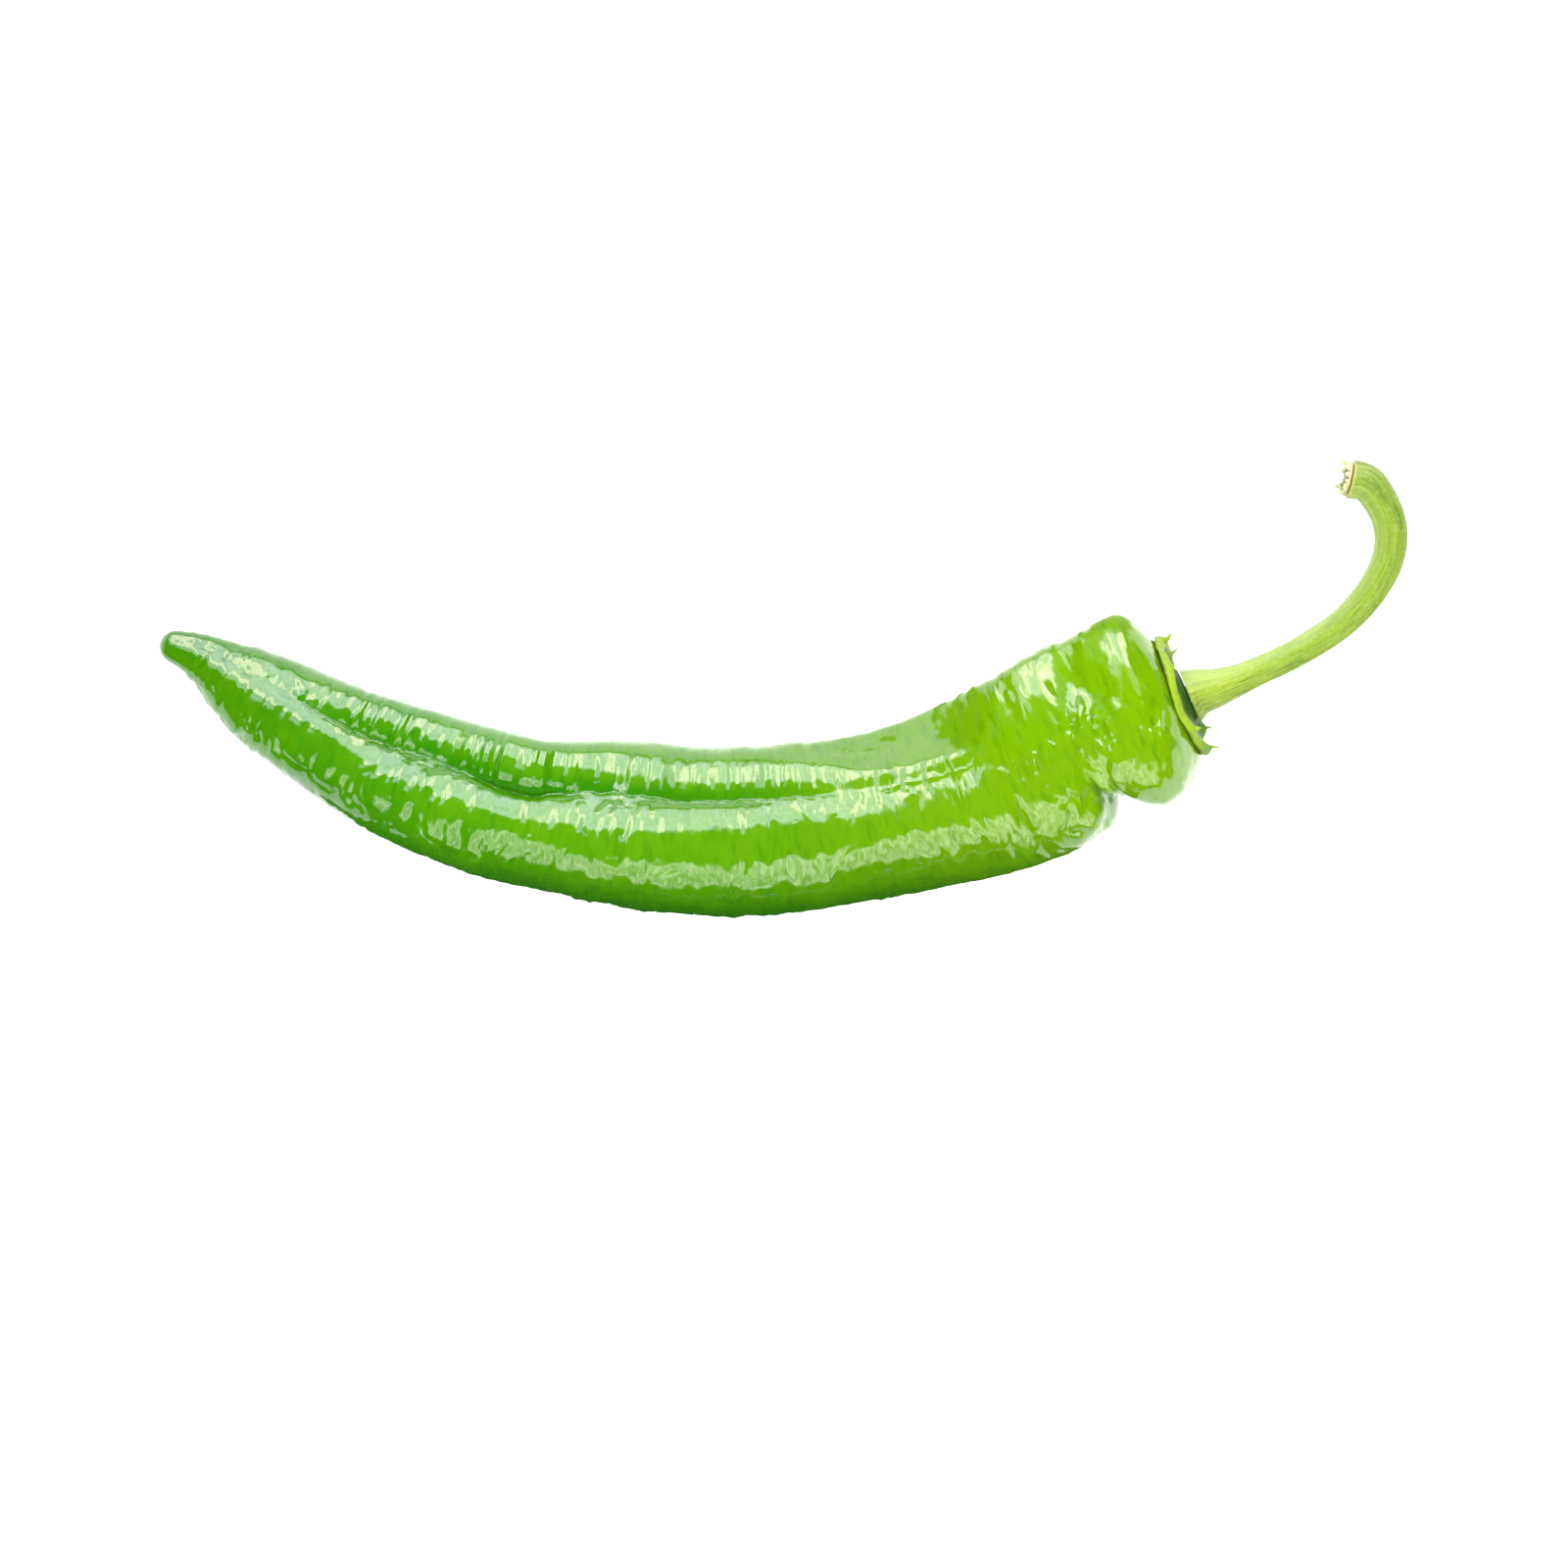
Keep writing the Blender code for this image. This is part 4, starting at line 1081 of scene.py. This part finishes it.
def mix(tree, factor, first, second):
    """A colour between the first, at factor 0, and the second, at factor 1."""
    made = node(tree, "ShaderNodeMix", {}, data_type="RGBA")
    for socket, value in (("Factor", factor), ("A", first), ("B", second)):
        target = next(s for s in made.inputs if s.name == socket and s.enabled)
        if isinstance(value, bpy.types.NodeSocket):
            tree.links.new(value, target)
        else:
            target.default_value = (*value, 1.0)
    return next(s for s in made.outputs if s.enabled)


def remap(tree, value, low, high, to_low=0.0, to_high=1.0):
    """The value moved from its own range to another, and kept inside it."""
    inputs = {"Value": value, "From Min": low, "From Max": high, "To Min": to_low, "To Max": to_high}
    return node(tree, "ShaderNodeMapRange", inputs).outputs["Result"]


def noise(tree, vector, scale, detail, roughness=0.5):
    inputs = {"Vector": vector, "Scale": scale, "Detail": detail, "Roughness": roughness}
    return node(tree, "ShaderNodeTexNoise", inputs).outputs["Fac"]


def tinted(tree, colour, tints, sources):
    """The colour with each tint mixed over it, where the number that it goes by is strong."""
    for source, low, high, strength, tint in tints:
        colour = mix(tree, remap(tree, sources[source], low, high, 0.0, strength), colour, tint)
    return colour


def relief_normal(tree, height, strength, depth):
    """The normal of small relief, with its depth in millimetres."""
    inputs = {"Height": height, "Strength": strength, "Distance": depth * MM}
    return node(tree, "ShaderNodeBump", inputs).outputs["Normal"]


def new_material(name):
    material = bpy.data.materials.new(name)
    material.use_nodes = True
    tree = material.node_tree
    return material, tree, tree.nodes["Principled BSDF"]


def skin_material():
    """Glossy green skin, darker towards the tip, with fine crosswise wrinkles and painted shade low on the
    outer side and along the crest's groove.
    """
    material, tree, shader = new_material("pod_skin")
    straight = combined(tree, *[field(tree, name) for name in ("straight_x", "straight_y", "straight_z")])
    sources = {
        "patches": noise(tree, straight, *SKIN_PATCH_NOISE),
        "deep": field(tree, "deep"),
        "wrinkles": noise(tree, scaled(tree, straight, WRINKLE_STRETCH), *WRINKLE_NOISE),
    }
    normal = relief_normal(tree, sources["wrinkles"], *SKIN_RELIEF)
    fill(tree, shader, {
        **SKIN_FINISH,
        "Base Color": tinted(tree, ramp(tree, field(tree, "along"), SKIN_COLOURS), SKIN_TINTS, sources),
        "Coat Weight": field(tree, "gloss"),
        "Normal": normal,
        "Coat Normal": normal,
    })
    return material


def calyx_material():
    """Satin green tissue, paler on its lifted edge, with a thin brown line under that edge, and its dish
    round the stem darkened with painted shade.
    """
    material, tree, shader = new_material("calyx_green")
    speckle = noise(tree, coordinates(tree, "Object"), *CALYX_SPECKLE_NOISE)
    sources = {"yellow": field(tree, "yellow"), "speckle": speckle, "brown": field(tree, "brown")}
    edge = tinted(tree, CALYX_EDGE_COLOUR, CALYX_EDGE_TINTS, sources)
    colour = mix(tree, remap(tree, field(tree, "rim"), *CALYX_EDGE_RANGE), CALYX_DISH_SHADE_COLOUR, edge)
    fill(tree, shader, {
        **CALYX_FINISH,
        "Base Color": tinted(tree, colour, CALYX_TINTS, sources),
        "Normal": relief_normal(tree, speckle, *CALYX_RELIEF),
    })
    return material


def stem_material():
    """Pale yellow-green stem with fine darker lines along it, a painted sheen on the inside of its bend,
    painted shade in its furrows, and an ochre ring at its end.
    """
    material, tree, shader = new_material("stem_green")
    around_x, along = field(tree, "around_x"), field(tree, "along")
    lines = noise(tree, combined(tree, around_x, field(tree, "around_y"), along), *STEM_LINE_NOISE)
    speckle = noise(tree, coordinates(tree, "Object"), *STEM_SPECKLE_NOISE)
    dark = remap(tree, lines, *DARK_LINE_RANGE)
    sources = {
        "around": around_x,
        "dark lines": calculate(tree, "MULTIPLY", dark, remap(tree, around_x, *DARK_SIDE_RANGE)),
        "lines": lines,
        "furrow_shade": field(tree, "furrow_shade"),
        "speckle": speckle,
        "along": along,
    }
    height = calculate(tree, "ADD", lines, speckle)
    fill(tree, shader, {
        **STEM_FINISH,
        "Base Color": tinted(tree, ramp(tree, along, STEM_COLOURS), STEM_TINTS, sources),
        "Normal": relief_normal(tree, height, *STEM_RELIEF),
    })
    return material


def torn_material():
    """Dry cream tissue, browner at its foot, and darkened to olive in the hollow as painted shade."""
    material, tree, shader = new_material("torn_tissue")
    fibres = noise(tree, coordinates(tree, "Object"), *TORN_FIBRE_NOISE)
    sources = {"fibres": fibres, "inside": field(tree, "inside")}
    fill(tree, shader, {
        **TORN_FINISH,
        "Base Color": tinted(tree, ramp(tree, field(tree, "height"), TORN_COLOURS), TORN_TINTS, sources),
        "Normal": relief_normal(tree, fibres, *TORN_RELIEF),
    })
    return material


def add_object(name, data):
    """A new object of this mesh, lamp or camera in the scene."""
    made = bpy.data.objects.new(name, data)
    bpy.context.scene.collection.objects.link(made)
    return made


def make_camera():
    data = bpy.data.cameras.new("camera")
    data.sensor_width = CAMERA_SENSOR
    data.lens = CAMERA_LENS
    data.clip_end = CAMERA_REACH * MM
    camera = add_object("camera", data)
    camera.location = Vector(CAMERA_PLACE) * MM
    bpy.context.scene.camera = camera


def sky_place(along, across):
    """Size and world matrix of a rectangle that fills this stretch of sky."""
    middle = [math.radians(sum(span) / 2) for span in (along, across)]
    half = [math.radians(span[1] - span[0]) / 2 for span in (along, across)]
    size = [2 * LIGHT_DISTANCE * math.tan(angle) * MM for angle in half]
    toward = Vector((math.tan(middle[0]) * math.cos(middle[1]), math.sin(middle[1]), math.cos(middle[1])))
    toward.normalize()
    right = Vector((1.0, 0.0, 0.0))
    right = (right - toward * right.dot(toward)).normalized()
    matrix = Matrix((right, toward.cross(right), toward)).transposed().to_4x4()
    matrix.translation = toward * LIGHT_DISTANCE * MM
    return size, matrix


def make_lamp(along, across, radiance, colour):
    """The lamp that lights every surface evenly. It isn't mirrored in the skin."""
    size, matrix = sky_place(along, across)
    data = bpy.data.lights.new("lamp", "AREA")
    data.shape = "RECTANGLE"
    data.size, data.size_y = size
    data.color = colour
    data.energy = radiance * math.pi * size[0] * size[1]
    lamp = add_object("lamp", data)
    lamp.matrix_world = matrix
    lamp.visible_camera = False
    lamp.visible_glossy = False


def panel_material(name, radiance, colour, pattern, contrast):
    """Glowing cloth, darker in soft patches and fading out at its edges."""
    material, tree, shader = new_material(name)
    tree.nodes.remove(shader)
    place = coordinates(tree, "Generated")
    parts = node(tree, "ShaderNodeSeparateXYZ", {"Vector": place})
    patches = remap(tree, noise(tree, scaled(tree, place, (*pattern, 0.0)), *PANEL_NOISE), *PANEL_PATCHES)
    strength = remap(tree, patches, 0.0, 1.0, radiance, radiance * (1 - contrast))
    for axis, (start, end) in product(("X", "Y"), ((0.0, PANEL_SOFT), (1.0, 1.0 - PANEL_SOFT))):
        strength = calculate(tree, "MULTIPLY", strength, remap(tree, parts.outputs[axis], start, end))
    glow = node(tree, "ShaderNodeEmission", {"Color": (*colour, 1.0), "Strength": strength})
    tree.links.new(glow.outputs["Emission"], tree.nodes["Material Output"].inputs["Surface"])
    return material


def rectangle(name, half_width, half_length, height, material):
    """A flat level rectangle, with its sizes in metres."""
    x, y = half_width, half_length
    mesh = bpy.data.meshes.new(name)
    mesh.from_pydata([(-x, -y, height), (x, -y, height), (x, y, height), (-x, y, height)], [], [(0, 1, 2, 3)])
    mesh.materials.append(material)
    return add_object(name, mesh)


def make_panel(name, along, across, **look):
    """A glowing panel in the sky that only reflections show."""
    size, matrix = sky_place(along, across)
    panel = rectangle(name, size[0] / 2, size[1] / 2, 0.0, panel_material(name, **look))
    panel.matrix_world = matrix
    panel.visible_camera = False
    panel.visible_diffuse = False
    panel.visible_shadow = False


def make_world():
    """Dim even light all round, with a white background where the camera sees past the floor."""
    world = bpy.data.worlds.new("studio")
    world.use_nodes = True
    tree = world.node_tree
    seen = node(tree, "ShaderNodeLightPath", {}).outputs["Is Camera Ray"]
    strength = remap(tree, seen, 0.0, 1.0, WORLD_STRENGTH, BACKGROUND_STRENGTH)
    fill(tree, tree.nodes["Background"], {"Color": (1.0, 1.0, 1.0, 1.0), "Strength": strength})
    bpy.context.scene.world = world


def make_floor():
    """A plain white floor."""
    material, tree, shader = new_material("floor_white")
    fill(tree, shader, FLOOR_FINISH)
    half = FLOOR_SIZE / 2 * MM
    floor = rectangle("floor", half, half, -FLOOR_DEPTH * MM, material)


def make_card():
    """The low dark card beside the pod. Only reflections show it."""
    profile = np.array(CARD_PROFILE)
    rings = np.stack([np.column_stack([np.full(len(profile), along), profile]) for along in CARD_ALONG])
    points, faces = closed_mesh(rings, rings[0].mean(axis=0), rings[1].mean(axis=0))
    mesh = bpy.data.meshes.new("card")
    mesh.from_pydata((points * MM).tolist(), [], faces)
    material, tree, shader = new_material("card_dark")
    fill(tree, shader, CARD_FINISH)
    mesh.materials.append(material)
    card = add_object("card", mesh)
    card.visible_camera = False
    card.visible_shadow = False


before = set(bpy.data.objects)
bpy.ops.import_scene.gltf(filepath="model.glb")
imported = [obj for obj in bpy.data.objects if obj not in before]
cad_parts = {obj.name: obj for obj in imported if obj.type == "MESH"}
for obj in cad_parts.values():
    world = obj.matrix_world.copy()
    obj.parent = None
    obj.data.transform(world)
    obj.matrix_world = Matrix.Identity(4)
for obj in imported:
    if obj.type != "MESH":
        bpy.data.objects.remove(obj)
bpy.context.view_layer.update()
bpy.context.scene.view_settings.view_transform = "Standard"
make_camera()
make_pod()
make_calyx()
make_stem()
make_torn_end()
make_lamp(**LAMP)
for panel_name, panel in PANELS.items():
    make_panel(panel_name, **panel)
make_world()
make_floor()
make_card()
